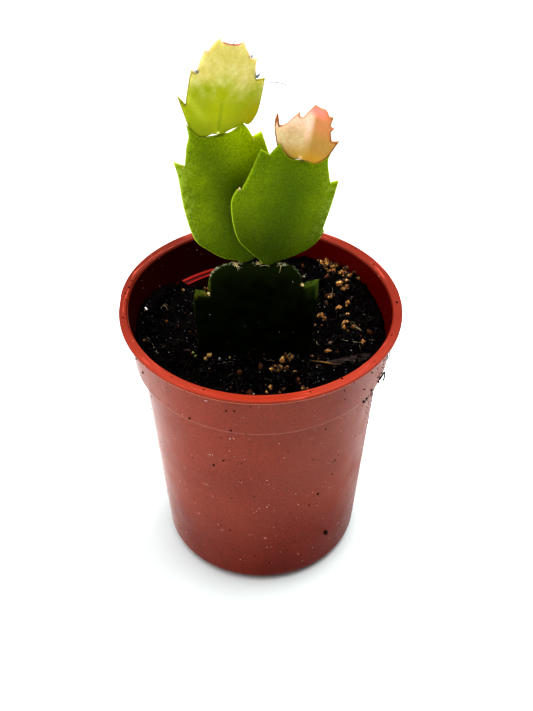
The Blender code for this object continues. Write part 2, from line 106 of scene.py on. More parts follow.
def rim_shift(place):
    """How far the wall is out of round there: pulled out at the back left, its lip narrower at the sides."""
    around = math.degrees(math.atan2(place.y, place.x)) % 360.0
    rising = min(1.0, max(0.0, (place.z - 48.0) / 24.0))
    shift = rising * math.exp(-(((around - 132.0) / 40.0) ** 4))
    if place.z > 68.0 and place.to_2d().length < 32.9 - (POT_HEIGHT - place.z) * 0.12:
        left = math.exp(-(((around - 178.0) / 38.0) ** 2))
        right = math.exp(-((((around + 172.0) % 360.0 - 160.0) / 25.0) ** 2))
        shift += (place.z - 68.0) / 7.0 * (0.52 * left + 0.27 * right - 0.2)
    return shift


def linear(hex_colour):
    """An sRGB hex colour as linear red, green, blue and an alpha of 1."""
    channels = [int(hex_colour[k : k + 2], 16) / 255 for k in (1, 3, 5)]
    return [c / 12.92 if c <= 0.04045 else ((c + 0.055) / 1.055) ** 2.4 for c in channels] + [1.0]


def add_node(tree, kind, inputs, **settings):
    """Adds a node with its settings, and gives each input its value or the output that feeds it."""
    node = tree.nodes.new("ShaderNode" + kind)
    for name, value in settings.items():
        setattr(node, name, value)
    for name, value in inputs.items():
        if isinstance(value, bpy.types.NodeSocket):
            tree.links.new(value, node.inputs[name])
        else:
            node.inputs[name].default_value = value
    return node


def start_material(name, roughness, ior, specular=0.5):
    """A Principled material, and the place on the object in millimetres for its patterns."""
    material = bpy.data.materials.new(name)
    material.use_nodes = True
    tree = material.node_tree
    shader = tree.nodes["Principled BSDF"]
    for socket, value in (("Roughness", roughness), ("IOR", ior), ("Specular IOR Level", specular)):
        shader.inputs[socket].default_value = value
    place = add_node(tree, "TexCoord", {}).outputs["Object"]
    place = add_node(tree, "VectorMath", {0: place, "Scale": 1000.0}, operation="SCALE").outputs[0]
    return material, shader, place


def finish_material(shader, colour, relief=None, depth=0.0, strength=1.0, roughness=None):
    """Gives the shader its colour, a fine relief with its depth in millimetres, and a varied roughness."""
    tree = shader.id_data
    tree.links.new(colour, shader.inputs["Base Color"])
    if roughness:
        tree.links.new(roughness, shader.inputs["Roughness"])
    if relief:
        bump = add_node(tree, "Bump", {"Height": relief, "Strength": strength, "Distance": depth * MM})
        tree.links.new(bump.outputs[0], shader.inputs["Normal"])


def patches(place, size, low, high, start=0.0, end=1.0, detail=3.0):
    """A mask of cloudy patches of about this size in millimetres, from start to end."""
    cloud = add_node(place.id_data, "TexNoise", {"Vector": place, "Scale": 0.7 / size, "Detail": detail})
    limits = {"From Min": low, "From Max": high, "To Min": start, "To Max": end}
    return add_node(place.id_data, "MapRange", {"Value": cloud.outputs["Fac"], **limits}).outputs["Result"]


def product(*factors):
    """The product of factors. Each is an output, a number, or a fade: value, start, end, and two levels."""
    outputs = []
    for factor in factors:
        if isinstance(factor, tuple):
            value, start, end, low, high = factor if len(factor) == 5 else (*factor, 0.0, 1.0)
            inputs = {"Value": value, "From Min": start, "From Max": end, "To Min": low, "To Max": high}
            fade = add_node(value.id_data, "MapRange", inputs, interpolation_type="SMOOTHSTEP")
            factor = fade.outputs["Result"]
        outputs.append(factor)
    result = outputs[0]
    for factor in outputs[1:]:
        result = add_node(result.id_data, "Math", {0: result, 1: factor}, operation="MULTIPLY").outputs[0]
    return result


def dots(place, spacing, radius, share, seed):
    """A mask of round dots of this radius, about a spacing apart in millimetres, of which a share is kept."""
    tree = place.id_data
    moved = add_node(tree, "VectorMath", {0: place, 1: (seed, seed * 1.7, -seed)}, operation="ADD").outputs[0]
    cells = add_node(tree, "TexVoronoi", {"Vector": moved, "Scale": 1.0 / spacing}).outputs
    limits = {"From Min": radius / spacing, "From Max": 0.6 * radius / spacing}
    near = add_node(tree, "MapRange", {"Value": cells["Distance"], **limits}).outputs["Result"]
    chosen = add_node(tree, "Math", {0: cells["Color"], 1: 1.0 - share}, operation="GREATER_THAN").outputs[0]
    return product(near, chosen)


def layered(ground, *coats, how="MIX"):
    """The ground colour with each coat over it. A coat is a colour, then the factors of how far it covers."""
    for over, *factors in coats:
        mask = product(*factors)
        ground, over = (linear(colour) if isinstance(colour, str) else colour for colour in (ground, over))
        inputs = {0: mask, 6: ground, 7: over}
        ground = add_node(mask.id_data, "Mix", inputs, data_type="RGBA", blend_type=how).outputs[2]
    return ground


def add_piece(name, shape, material, replaced=None):
    """Makes a bmesh or mesh an object of the part, in its material, in place of the solid it stands for."""
    mesh = shape
    if isinstance(shape, bmesh.types.BMesh):
        mesh = bpy.data.meshes.new(name)
        shape.to_mesh(mesh)
        shape.free()
    mesh.materials.clear()
    mesh.materials.append(material)
    mesh.shade_smooth()
    piece = bpy.data.objects.new(name, mesh)
    bpy.context.scene.collection.objects.link(piece)
    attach(piece, "root")
    if replaced:
        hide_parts(replaced)
    return piece


# Moulded polypropylene: satin, a little mottled, with a worn and scratched rim, pale scuffs, soil specks and
# a dust sheen. Painted shade darkens it low down, under the step, inside and towards the back of the lip.
# Painted highlights lighten the step's edge, the lip's outer edge and the ledge; the sheen is raised on the
# left flank and the gloss at both flanks, to paint their glare.
plastic, shader, place = start_material("moulded red polypropylene", 0.36, 1.49)
shader.inputs["Sheen Roughness"].default_value = 0.2
tree = shader.id_data
across, away, height = add_node(tree, "SeparateXYZ", {0: place}).outputs
turn = add_node(tree, "Math", {0: away, 1: across}, operation="ARCTAN2").outputs[0]
level = add_node(tree, "VectorMath", {0: place, 1: (1.0, 1.0, 0.0)}, operation="MULTIPLY").outputs[0]
radius = add_node(tree, "VectorMath", {0: level}, operation="LENGTH").outputs["Value"]
inner = add_node(tree, "Attribute", {}, attribute_name="inner").outputs["Fac"]
ledge = add_node(tree, "Attribute", {}, attribute_name="ledge").outputs["Fac"]
rim = product((height, 74.5, 74.85))
round_rim = add_node(tree, "CombineXYZ", {"X": product(turn, 4.0), "Y": product(radius, 2.0)}).outputs[0]
colour = layered(
    "#A04022",
    ("#94371E", patches(place, 14.0, 0.4, 0.65)),
    ("#AC4F32", patches(place, 0.5, 0.3, 0.75, 0.0, 0.35, 2.0)),
    # Painted shade: the wall darker towards the bottom, in cloudy patches.
    ("#781B08", (height, 34.0, 4.0, 0.0, 0.8), patches(place, 6.0, 0.2, 0.7, 0.5, 1.0, 6.0)),
    # Painted shade under the step, and a painted highlight along the step's edge.
    ("#5A2012", (height, 59.8, 61.2, 0.0, 0.5), (height, 61.6, 61.4)),
    ("#C8806C", (height, 61.5, 61.6, 0.0, 0.35), (height, 62.1, 61.7)),
)
colour = layered(colour, ("#CFCFCF", patches(place, 0.28, 0.3, 0.7, 0.0, 1.0, 2.0)), how="MULTIPLY")
colour = layered(
    colour,
    ("#A44028", rim),
    # Painted shade: the lip's top darker towards the back, and darker again at the back left.
    ("#862C13", rim, (away, -30.0, -4.0)),
    ("#6E2410", rim, (across, -12.0, -24.0, 0.0, 0.6), (away, 4.0, 14.0)),
    ("#C86450", rim, patches(round_rim, 0.8, 0.58, 0.66, 0.0, 0.7, 4.0)),
    # A painted highlight along the lip's outer edge.
    ("#DC7A60", (height, 74.4, 74.15), (radius, 34.5, 34.85), (height, 73.9, 74.05)),
    ("#C98A7A", patches(place, 1.2, 0.66, 0.74, detail=8.0), patches(place, 9.0, 0.5, 0.6)),
    ("#E6CFC6", dots(place, 2.6, 0.16, 0.55, 3.0)),
    ("#3A1810", dots(place, 3.1, 0.2, 0.6, 11.0)),
    # Painted shade on the inside wall, deepest at the left.
    (layered("#3A0100", ("#700300", (across, -10.0, 16.0))), inner),
    # The ledge painted bright as if lit, and the recess below its edge painted in shade.
    ("#B01A0A", (ledge, 0.0, 0.5)),
    ("#5C0A06", (ledge, 0.6, 0.9)),
    ("#C8A098", inner, dots(place, 2.6, 0.2, 0.35, 23.0)),
)
sloping = add_node(tree, "Math", {0: height, 1: across}, operation="SUBTRACT").outputs[0]
sideways = add_node(tree, "Math", {0: across}, operation="ABSOLUTE").outputs[0]
# Gloss: lower inside, on the lip and low down towards the right, and doubled at the flanks below the lip,
# where it paints their glare.
glancing = product((sideways, 17.0, 27.0), (height, 73.6, 73.9, 1.0, 0.0))
gloss = product(
    (inner, 0.0, 1.0, 0.45, 0.06),
    (height, 74.3, 74.8, 1.0, 0.5),
    (sloping, 0.0, 36.0, 0.4, 1.0),
    (glancing, 0.0, 1.0, 1.0, 2.0),
)
# Sheen: partly a dust film and partly painted glare, none inside and little on the lip's top, raised on the
# left and higher up, lowered on the right.
dust_and_painted_glare = product(
    (height, 74.7, 74.3, 0.02, 1.0),
    (inner, 1.0, 0.0),
    (across, 6.0, 16.0, 1.0, 0.55),
    (across, -6.0, -25.0, 1.0, 2.8),
    (sloping, 4.0, 60.0, 0.08, 0.36),
)
tree.links.new(gloss, shader.inputs["Specular IOR Level"])
tree.links.new(dust_and_painted_glare, shader.inputs["Sheen Weight"])
skin = add_node(tree, "TexNoise", {"Vector": place, "Scale": 1.6, "Detail": 3.0}).outputs["Fac"]
finish_material(shader, colour, skin, 0.05, 0.25, patches(place, 4.0, 0.3, 0.7, 0.3, 0.44, 5.0))

edge = []
for k in range(BASE_ROUNDING_STEPS + 1):
    angle = math.radians(-90.0 + 90.0 * k / BASE_ROUNDING_STEPS)
    out, up = BASE_ROUNDING * math.cos(angle), BASE_ROUNDING * math.sin(angle)
    edge.append((FOOT_RING_RADIUS + out, BASE_ROUNDING + up, 0.0))
bm = turned(eased(UNDERSIDE + edge + POT_CORNERS), POT_STEPS)
# The layers tell the material where the inside, which it paints in shade, and the ledge are.
inner_layer = bm.verts.layers.float.new("inner")
ledge_layer = bm.verts.layers.float.new("ledge")
for vert in bm.verts:
    shift = rim_shift(vert.co / MM)
    radius = vert.co.to_2d().length
    above_ledge = vert.co.z / MM - LEDGE_HEIGHT
    vert[inner_layer] = 0.3 < above_ledge < 10.0 and radius / MM < 31.3 + above_ledge * 0.15
    if above_ledge < -0.2 and vert.co.z / MM > 5.0 and radius / MM < 29.0:
        vert[inner_layer] = 1.0
    elif abs(above_ledge + 0.3) < 0.42 and LEDGE_INNER_RADIUS < radius / MM < 31.1:
        vert[ledge_layer] = 1.0 if above_ledge < -0.3 else 0.5
    if shift and radius:
        x, y = vert.co.to_2d() * (1.0 + shift * MM / radius)
        vert.co.x, vert.co.y = max(-RIM_LIMIT * MM, x), min(RIM_LIMIT * MM, y)
shell = add_piece("pot_shell", bm, plastic, "pot")
bm = bmesh.new()
radius = DRAIN_HOLE_RADIUS * MM
drill = {"segments": 24, "radius1": radius, "radius2": radius, "depth": DRILL_LENGTH * MM}
for k in range(DRAIN_HOLES):
    angle = math.tau * k / DRAIN_HOLES
    centre = Vector((math.cos(angle), math.sin(angle), 0.0)) * DRAIN_CIRCLE_RADIUS
    centre.z = DRILL_HEIGHT
    bmesh.ops.create_cone(bm, cap_ends=True, matrix=Matrix.Translation(centre * MM), **drill)
drill_mesh = bpy.data.meshes.new("drills")
bm.to_mesh(drill_mesh)
bm.free()
drills = bpy.data.objects.new("drills", drill_mesh)
bpy.context.scene.collection.objects.link(drills)
holes = shell.modifiers.new("drain holes", "BOOLEAN")
holes.solver = "EXACT"
holes.object = drills
holed = bpy.data.meshes.new_from_object(shell.evaluated_get(bpy.context.evaluated_depsgraph_get()))
shell.modifiers.clear()
shell.data = holed
bpy.data.objects.remove(drills)

# The potting soil. Damp, nearly black peat and coir that fills the pot, crumbly on top, higher at the back
# right and low at the back left, where the ledge shows. It is loose, so its top is all lumps and hollows.
SOIL_LEVEL = 66.8
SOIL_RADIUS = 31.2
SOIL_RINGS = 66
SOIL_STEPS = 320
SOIL_UNDERSIDE = [(28.6, 60.0), (24.6, 5.4), (0.0, 5.4)]
# Across, away, height and reach of each mound, and of the hollow at the back left.
SOIL_MOUNDS = ((21.0, 21.0, 2.9, 13.0), (-29.0, 9.0, 2.0, 8.0), (-14.0, 26.0, -6.0, 8.0))
PLANT_PLACE = (-0.8, -7.0)
PLANT_HALF_WIDTH = 15.4
# The top is turned flat at this height, in metres, which nothing else reaches, and is then shaped.
TOP_MARK = 0.2


def soil_height(x, y):
    """The height of the soil's top: its level, mounds and hollows, lumps and crumbs."""
    level = SOIL_LEVEL
    for mound_x, mound_y, height, reach in SOIL_MOUNDS:
        level += height * math.exp(-((x - mound_x) ** 2 + (y - mound_y) ** 2) / reach**2)
    level += 0.9 * noise.noise(Vector((x, y, 4.0)) * 0.42)
    level += 0.54 * noise.noise(Vector((x, y, 5.7)) * 0.9)
    level += 0.9 * (0.42 - noise.voronoi(Vector((x, y, 2.0)) * 0.55)[0][0])
    level += 0.45 * (0.42 - noise.voronoi(Vector((x, y, 7.0)) * 1.3)[0][0])
    return level + 0.2 * noise.noise(Vector((x, y, 9.0)) * 2.6)


def room_radius(height):
    """The radius of the pot's inside at a height near the soil's top, on the ledge and above it."""
    above_ledge = height - LEDGE_HEIGHT
    if above_ledge < 0.0:
        return LEDGE_INNER_RADIUS
    return min(LEDGE_INNER_RADIUS + above_ledge * 5.0, 30.95 + above_ledge * 0.13)


profile = [(SOIL_RADIUS * k / SOIL_RINGS, TOP_MARK / MM) for k in range(SOIL_RINGS + 1)]
bm = turned(profile + SOIL_UNDERSIDE, SOIL_STEPS)
for vert in bm.verts:
    if vert.co.z < TOP_MARK * 0.9:
        continue
    x, y = vert.co.x / MM, vert.co.y / MM
    share = math.hypot(x, y) / SOIL_RADIUS
    fitted = room_radius(soil_height(x, y)) / SOIL_RADIUS
    narrowing = 1.0 + (fitted - 1.0) * share**3
    x, y = x * narrowing, y * narrowing
    vert.co = Vector((x, y, soil_height(x, y))) * MM
bmesh.ops.recalc_face_normals(bm, faces=bm.faces[:])

# Peat: matt and nearly black where it is damp, browner where it dries, with brown flecks and blue-grey
# painted glints.
peat, shader, place = start_material("damp peat and coir", 0.8, 1.4, 0.05)
colour = layered(
    "#030101",
    ("#080404", patches(place, 5.0, 0.45, 0.7, detail=5.0)),
    ("#20120C", patches(place, 0.7, 0.58, 0.75)),
    # Painted glints: small blue-grey dots.
    ("#5C5E68", dots(place, 1.3, 0.2, 0.35, 4.0)),
    ("#6E4630", dots(place, 1.9, 0.24, 0.35, 14.0)),
)
crumbly = add_node(place.id_data, "TexNoise", {"Vector": place, "Scale": 2.2, "Detail": 6.0}).outputs["Fac"]
finish_material(shader, colour, crumbly, 0.35, 0.9, patches(place, 0.9, 0.4, 0.7, 0.9, 0.5))
add_piece("peat_fill", bm, peat, "soil")

# Loose crumbs of peat and bark dust on the soil, from 0.5 to 2.5 mm, some on the ledge and against the
# wall. A browner, drier heap of fine ones lies at the front left.
CRUMBS = 1500
HEAP_CRUMBS = 170
HEAP_PLACE = (-19.5, -7.4)
WALL_SIDE_CRUMBS = 70
WALL_SIDE_RADIUS = 28.6
draw = random.Random(5)


def soil_place(draw, reach):
    """A random place on the soil that is clear of the planted segment."""
    while True:
        radius, angle = reach * math.sqrt(draw.random()), draw.uniform(0.0, math.tau)
        x, y = radius * math.cos(angle), radius * math.sin(angle)
        if abs(x - PLANT_PLACE[0]) > PLANT_HALF_WIDTH or abs(y - PLANT_PLACE[1]) > 2.2:
            return x, y


def on_soil(x, y, lift):
    """The point that stands this far above the soil's top."""
    return x, y, soil_height(x, y) + lift


def start_lumps():
    """A new mesh for lumps, with a layer for the tint that picks each one's colour."""
    bm = bmesh.new()
    return bm, bm.verts.layers.float.new("tint")


def add_lump(bm, tint_layer, centre, size, tint, draw, subdivisions=1, unevenness=0.3):
    """An uneven lump of the given size, turned at random, whose tint picks its colour."""
    turn = Euler([draw.uniform(0.0, math.tau) for _ in range(3)]).to_matrix().to_4x4()
    scale = Matrix.Diagonal((*(Vector(size) * MM / 2), 1.0))
    centre = Vector(centre) * MM
    matrix = Matrix.Translation(centre) @ turn @ scale
    made = bmesh.ops.create_icosphere(bm, subdivisions=subdivisions, radius=1.0, matrix=matrix)
    for vert in made["verts"]:
        vert.co = centre.lerp(vert.co, draw.uniform(1.0 - unevenness, 1.0 + unevenness))
        vert[tint_layer] = tint


bm, tint = start_lumps()
for _ in range(CRUMBS):
    x, y = soil_place(draw, 29.3)
    size = draw.uniform(0.45, 1.0) if draw.random() < 0.8 else draw.uniform(1.0, 2.4)
    shape = (size, size * draw.uniform(0.5, 1.0), size * draw.uniform(0.4, 0.8))
    add_lump(bm, tint, on_soil(x, y, 0.15 * size), shape, draw.random(), draw, 1, 0.22)
for _ in range(HEAP_CRUMBS):
    x, y = draw.gauss(HEAP_PLACE[0], 2.6), draw.gauss(HEAP_PLACE[1], 1.9)
    size = draw.uniform(0.3, 0.9)
    shape = (size, size, size * 0.7)
    add_lump(bm, tint, on_soil(x, y, 0.2 * size), shape, draw.uniform(0.7, 0.93), draw, 1, 0.22)
for _ in range(WALL_SIDE_CRUMBS):
    around, size = math.radians(draw.uniform(95.0, 205.0)), draw.uniform(0.8, 2.3)
    x, y = WALL_SIDE_RADIUS * math.cos(around), WALL_SIDE_RADIUS * math.sin(around)
    inwards = draw.uniform(0.93, 1.0) if soil_height(x, y) > LEDGE_HEIGHT + 0.5 else 0.9
    spot = on_soil(x * inwards, y * inwards, draw.uniform(0.0, 0.5) * size)
    add_lump(bm, tint, spot, (size, size * 0.8, size * 0.7), draw.uniform(0.0, 0.7), draw, 2, 0.25)

# Peat crumbs, in blackish browns that change from crumb to crumb, with a few dry lighter ones.
crumbs, shader, place = start_material("loose peat crumbs", 0.75, 1.4, 0.06)
tree = place.id_data
shade = add_node(tree, "Attribute", {}, attribute_name="tint").outputs["Fac"]
lighter = add_node(tree, "MapRange", {"Value": shade, "From Min": 0.55}).outputs["Result"]
rare = add_node(tree, "MapRange", {"Value": shade, "From Min": 0.92, "From Max": 0.99}).outputs["Result"]
colour = layered(
    "#040202", ("#170D09", lighter), ("#7A4E30", rare), ("#40342E", patches(place, 0.4, 0.62, 0.7))
)
finish_material(shader, colour, patches(place, 0.35, 0.3, 0.7), 0.15)
add_piece("peat_crumbs", bm, crumbs)

# Glints on the soil. Tiny flakes under half a millimetre, coloured cold white and blue-grey between the
# crumbs: partly quartz dust, partly painted glints of wet peat. They lie loose on top.
GLINTS = 420
draw = random.Random(12)
bm, tint = start_lumps()
for _ in range(GLINTS):
    x, y = soil_place(draw, 29.0)
    size = draw.uniform(0.12, 0.3) if draw.random() < 0.85 else draw.uniform(0.3, 0.5)
    shape = (size * draw.uniform(1.0, 2.2), size * 0.8, size * 0.5)
    add_lump(bm, tint, on_soil(x, y, 0.12), shape, draw.random() ** 2, draw)

# Quartz dust and painted glints: glassy, from blue-grey to white from flake to flake.
quartz, shader, place = start_material("quartz dust", 0.25, 1.54)
shade = add_node(place.id_data, "Attribute", {}, attribute_name="tint").outputs["Fac"]
finish_material(shader, layered("#4A525E", ("#E8ECF0", shade)))
add_piece("quartz_glints", bm, quartz)

# The golden grains. Small rounded pieces of tan mineral mixed into the soil, 1 to 2 mm across, most of them
# in loose clusters at the back right and in front of the plant. They lie half sunk in the peat. Each is
# across, away from the viewer, size, and tint from 0, pale gold, to 1, dark red-brown.
GRAINS = (
    (15.5, 27.3, 1.6, 0.2), (17.3, 25.9, 2.0, 0.3), (17.2, 23.3, 2.1, 0.1), (18.6, 22.1, 1.9, 0.3),
    (21.2, 21.1, 1.7, 0.2), (22.3, 22.0, 1.8, 0.4), (23.0, 18.8, 2.0, 0.2), (24.5, 20.2, 1.8, 0.4),
    (16.0, 25.0, 1.9, 0.3), (18.6, 24.6, 1.6, 0.5), (19.8, 23.2, 1.8, 0.2), (20.6, 19.7, 1.5, 0.4),
    (24.0, 22.2, 1.6, 0.3), (25.6, 18.6, 1.5, 0.5), (22.0, 19.9, 1.6, 0.3), (17.9, 20.8, 1.3, 0.4),
    (19.0, 20.2, 1.6, 0.3), (22.2, 17.8, 2.0, 0.3), (20.3, 16.0, 2.1, 0.1), (21.4, 13.9, 2.0, 0.3),
    (22.4, 15.2, 1.4, 0.5), (18.1, 11.2, 2.1, 0.5), (16.8, 9.7, 1.6, 0.6), (22.3, 9.2, 2.0, 0.1),
    (23.0, 10.4, 1.2, 0.4), (19.8, 7.7, 1.9, 0.0), (15.1, 4.7, 2.2, 0.2), (16.2, 3.8, 1.5, 0.5),
    (13.7, 2.1, 1.4, 0.6), (21.2, 2.2, 2.2, 0.0), (20.7, 0.5, 1.6, 0.1), (22.0, 4.6, 1.2, 0.5),
    (23.4, 1.6, 1.5, 0.7), (10.6, -5.3, 1.7, 0.95), (17.2, -5.0, 1.9, 0.9), (16.7, -8.6, 2.0, 0.2),
    (6.7, -10.0, 1.5, 0.3), (7.2, -10.8, 2.3, 0.1), (5.3, -11.9, 2.0, 0.2), (6.3, -14.2, 1.5, 0.2),
    (2.9, -15.0, 2.0, 0.0), (4.7, -14.8, 2.1, 0.1), (8.2, -15.9, 1.6, 0.8), (9.8, -20.0, 1.6, 0.1),
    (10.1, -21.6, 1.4, 0.2), (2.3, -21.5, 1.3, 0.2), (1.4, -22.7, 1.3, 0.4), (25.5, -4.1, 1.6, 0.4),
    (-21.6, 18.9, 1.4, 0.3), (-20.6, 17.2, 1.5, 0.5), (-17.1, 22.8, 1.6, 0.3), (-15.5, 21.9, 1.7, 0.2),
    (-14.7, 21.5, 1.4, 0.4), (-14.1, 20.6, 1.6, 0.1), (-29.0, -4.2, 1.3, 0.7), (-17.9, -7.8, 1.2, 0.4),
    (12.6, -9.6, 1.0, 0.9), (6.1, -8.9, 1.0, 0.9),
)
draw = random.Random(21)
bm, tint = start_lumps()
for x, y, size, hue in GRAINS:
    shape = (size, size * draw.uniform(0.7, 0.95), size * draw.uniform(0.6, 0.85))
    add_lump(bm, tint, on_soil(x, y, 0.2 * size), shape, hue, draw, 2)
    if hue < 0.6 and draw.random() < 0.7:
        x, y = x + draw.uniform(-1.3, 1.3), y + draw.uniform(-1.3, 1.3)
        size *= draw.uniform(0.35, 0.6)
        add_lump(bm, tint, on_soil(x, y, 0.2 * size), (size, size, size * 0.8), hue + 0.2, draw, 2, 0.2)
bmesh.ops.smooth_vert(bm, verts=bm.verts[:], factor=0.25)

# Tan mineral grain: matt, gold to brown from grain to grain, pitted, with soil in the hollows and painted
# highlights.
grain, shader, place = start_material("tan mineral grain", 0.55, 1.5)
shade = add_node(place.id_data, "Attribute", {}, attribute_name="tint").outputs["Fac"]
colour = layered(
    "#A87430",
    ("#56200F", shade),
    # Painted highlights: pale gold patches.
    ("#F2CE84", patches(place, 0.45, 0.52, 0.66)),
    ("#3A1C06", patches(place, 0.8, 0.5, 0.58)),
    ("#0A0603", patches(place, 1.1, 0.55, 0.62)),
)
finish_material(shader, colour, patches(place, 0.3, 0.3, 0.7), 0.12)
add_piece("tan_grains", bm, grain)

# Fibres in the soil. Coir and peat threads, 2 to 6 mm long, lie on top every way, most of them dark and a
# few dry and pale. Each is a thin strand that starts and ends in the peat.
FIBRE_STEPS = 7
DARK_FIBRES = 300
PALE_FIBRES = 34


def add_strands(name, routes, material):
    """Thin round strands through the routes, whose points are across, away, up and radius."""
    curve = bpy.data.curves.new(name, "CURVE")
    curve.dimensions = "3D"
    curve.bevel_depth = MM
    curve.bevel_resolution = 0
    curve.use_fill_caps = True
    for route in routes:
        spline = curve.splines.new("POLY")
        spline.points.add(len(route) - 1)
        for point, (x, y, z, radius) in zip(spline.points, route):
            point.co = (x * MM, y * MM, z * MM, 1.0)
            point.radius = radius
    holder = bpy.data.objects.new(name + "_curve", curve)
    bpy.context.scene.collection.objects.link(holder)
    mesh = bpy.data.meshes.new_from_object(holder.evaluated_get(bpy.context.evaluated_depsgraph_get()))
    bpy.data.objects.remove(holder)
    add_piece(name, mesh, material)


def soil_fibre(draw, length, radius, lift):
    """A wandering strand on the soil, whose ends dip into it."""
    x, y = soil_place(draw, 28.5)
    heading, bend = draw.uniform(0.0, math.tau), draw.uniform(-0.5, 0.5)
    route = []
    for k in range(FIBRE_STEPS + 1):
        share = k / FIBRE_STEPS
        endness = abs(2 * share - 1)
        height = soil_height(x, y) + lift * math.sin(math.pi * share) + 0.1 - 0.3 * endness**6
        route.append((x, y, height, radius * (1.0 - 0.6 * endness**3)))
        heading += bend * draw.uniform(0.0, 1.0)
        x += math.cos(heading) * length / FIBRE_STEPS
        y += math.sin(heading) * length / FIBRE_STEPS
        under_plant = abs(x - PLANT_PLACE[0]) < PLANT_HALF_WIDTH and abs(y - PLANT_PLACE[1]) < 1.9
        if under_plant or math.hypot(x, y) > 29.5:
            break
    return route


def laid(points, radius, lift=0.25):
    """A strand laid on the soil along points of across and away, thinner at both ends."""
    last = len(points) - 1
    widths = [radius * (1.0 - 0.5 * abs(2 * k / last - 1) ** 2) for k in range(last + 1)]
    return [(*on_soil(x, y, lift), width) for (x, y), width in zip(points, widths)]


draw = random.Random(8)
dark_routes, pale_routes = [], []
for _ in range(DARK_FIBRES):
    length, radius = draw.uniform(1.5, 6.0), draw.uniform(0.06, 0.17)
    dark_routes.append(soil_fibre(draw, length, radius, draw.uniform(0.1, 0.7)))
for _ in range(PALE_FIBRES):
    length, radius = draw.uniform(1.0, 4.0), draw.uniform(0.03, 0.06)
    pale_routes.append(soil_fibre(draw, length, radius, draw.uniform(0.1, 0.6)))
pale_routes += [
    laid([(-28.7, -2.3), (-28.2, -3.0), (-27.4, -3.6), (-27.2, -4.8), (-26.6, -6.2), (-25.9, -7.8),
          (-25.5, -9.0)], 0.11),
    laid([(-26.2, -2.6), (-26.8, -3.2), (-27.4, -3.6), (-28.4, -3.9)], 0.1),
    laid([(20.0, -3.6), (21.6, -4.2), (23.4, -4.5), (25.2, -4.3), (27.0, -3.8), (28.4, -3.6)], 0.1, 0.35),
    laid([(13.2, -3.6), (13.8, -4.6), (14.0, -5.6), (14.6, -6.4)], 0.1, 0.3),
    laid([(22.6, 3.0), (23.4, 1.8), (24.4, 0.6), (25.4, -0.2)], 0.12, 0.4),
    laid([(23.2, 3.2), (24.0, 1.6), (25.2, 0.4)], 0.09, 0.5),
]

# Coir thread: brown-black, a little shiny, greyer where it has dried.
coir, shader, place = start_material("dark coir thread", 0.5, 1.45, 0.2)
colour = layered(
    "#0A0605", ("#22160F", patches(place, 3.0, 0.4, 0.65)), ("#76767E", patches(place, 1.0, 0.66, 0.72))
)
finish_material(shader, colour)
add_strands("dark_fibres", [route for route in dark_routes if len(route) > 3], coir)

# Dry root thread: matt, straw to off-white.
straw, shader, place = start_material("dry pale root thread", 0.65, 1.45)
finish_material(shader, layered("#7C6C50", ("#C8B890", patches(place, 3.0, 0.4, 0.65))))
add_strands("pale_fibres", [route for route in pale_routes if len(route) > 2], straw)

# Bark on the soil. A dark reddish flake at the front right, thin and split along its grain, with a tan
# stalk beside its point, and a few smaller chips: a yellow-white one and a pale green scrap beside the
# plant.
CHIP_PLACE = (21.6, -11.0)
CHIP_LENGTH = 11.4
CHIP_WIDTH = 3.5
CHIP_THICKNESS = 0.35
CHIP_TURN = math.radians(14.0)

bm = bmesh.new()
bmesh.ops.create_grid(bm, x_segments=60, y_segments=20, size=0.5)
for vert in bm.verts:
    along, across = vert.co.x * 2.0, vert.co.y * 2.0
    breadth = (1.0 - abs(along) ** 2.2) ** 0.6 if abs(along) < 1.0 else 0.0
    breadth *= 0.72 + 0.28 * along + 0.2 * noise.noise(Vector((along * 5.0, 0.4 * across, 3.0)))
    splits = 0.12 * math.sin(across * 17.0 + 2.0 * noise.noise(Vector((along * 2.0, across, 0.0))))
    x = along * CHIP_LENGTH / 2
    y = across * breadth * CHIP_WIDTH / 2
    vert.co = Vector((x, y, 0.35 * along**2 + 0.3 - 0.35 * across**2 + splits * breadth)) * MM
bmesh.ops.solidify(bm, geom=bm.faces[:], thickness=CHIP_THICKNESS * MM)
bmesh.ops.remove_doubles(bm, verts=bm.verts[:], dist=0.01 * MM)
bmesh.ops.recalc_face_normals(bm, faces=bm.faces[:])
matrix = Matrix.Translation(Vector(on_soil(*CHIP_PLACE, 0.75)) * MM) @ Matrix.Rotation(CHIP_TURN, 4, "Z")
bmesh.ops.transform(bm, matrix=matrix, verts=bm.verts[:])

# Weathered bark: purple-brown, matt, with lighter fibres along the grain, which lies along the flake.
bark, shader, place = start_material("weathered bark", 0.6, 1.4, 0.25)
inputs = {"Vector": place, "Rotation": (0.0, 0.0, -CHIP_TURN), "Scale": (0.25, 2.2, 1.0)}
grained = add_node(shader.id_data, "Mapping", inputs).outputs[0]
colour = layered(
    "#120B09", ("#3C2B26", patches(grained, 1.0, 0.35, 0.7)), ("#A08E86", patches(grained, 0.5, 0.62, 0.72))
)
finish_material(shader, colour, patches(grained, 0.7, 0.3, 0.7), 0.2)
add_piece("bark_flake", bm, bark, "bark_chip")

# Dry stalk: matt tan with brown patches.
stalk, shader, place = start_material("dry tan stalk", 0.6, 1.45)
finish_material(shader, layered("#96702E", ("#4A3014", patches(place, 1.5, 0.4, 0.6))))
stalk_line = [(12.0, -12.2), (13.2, -12.4), (14.8, -12.6), (16.4, -12.9), (18.0, -13.0), (19.6, -13.1)]
add_strands("dry_stalk", [laid(stalk_line, 0.3, 0.5)], stalk)

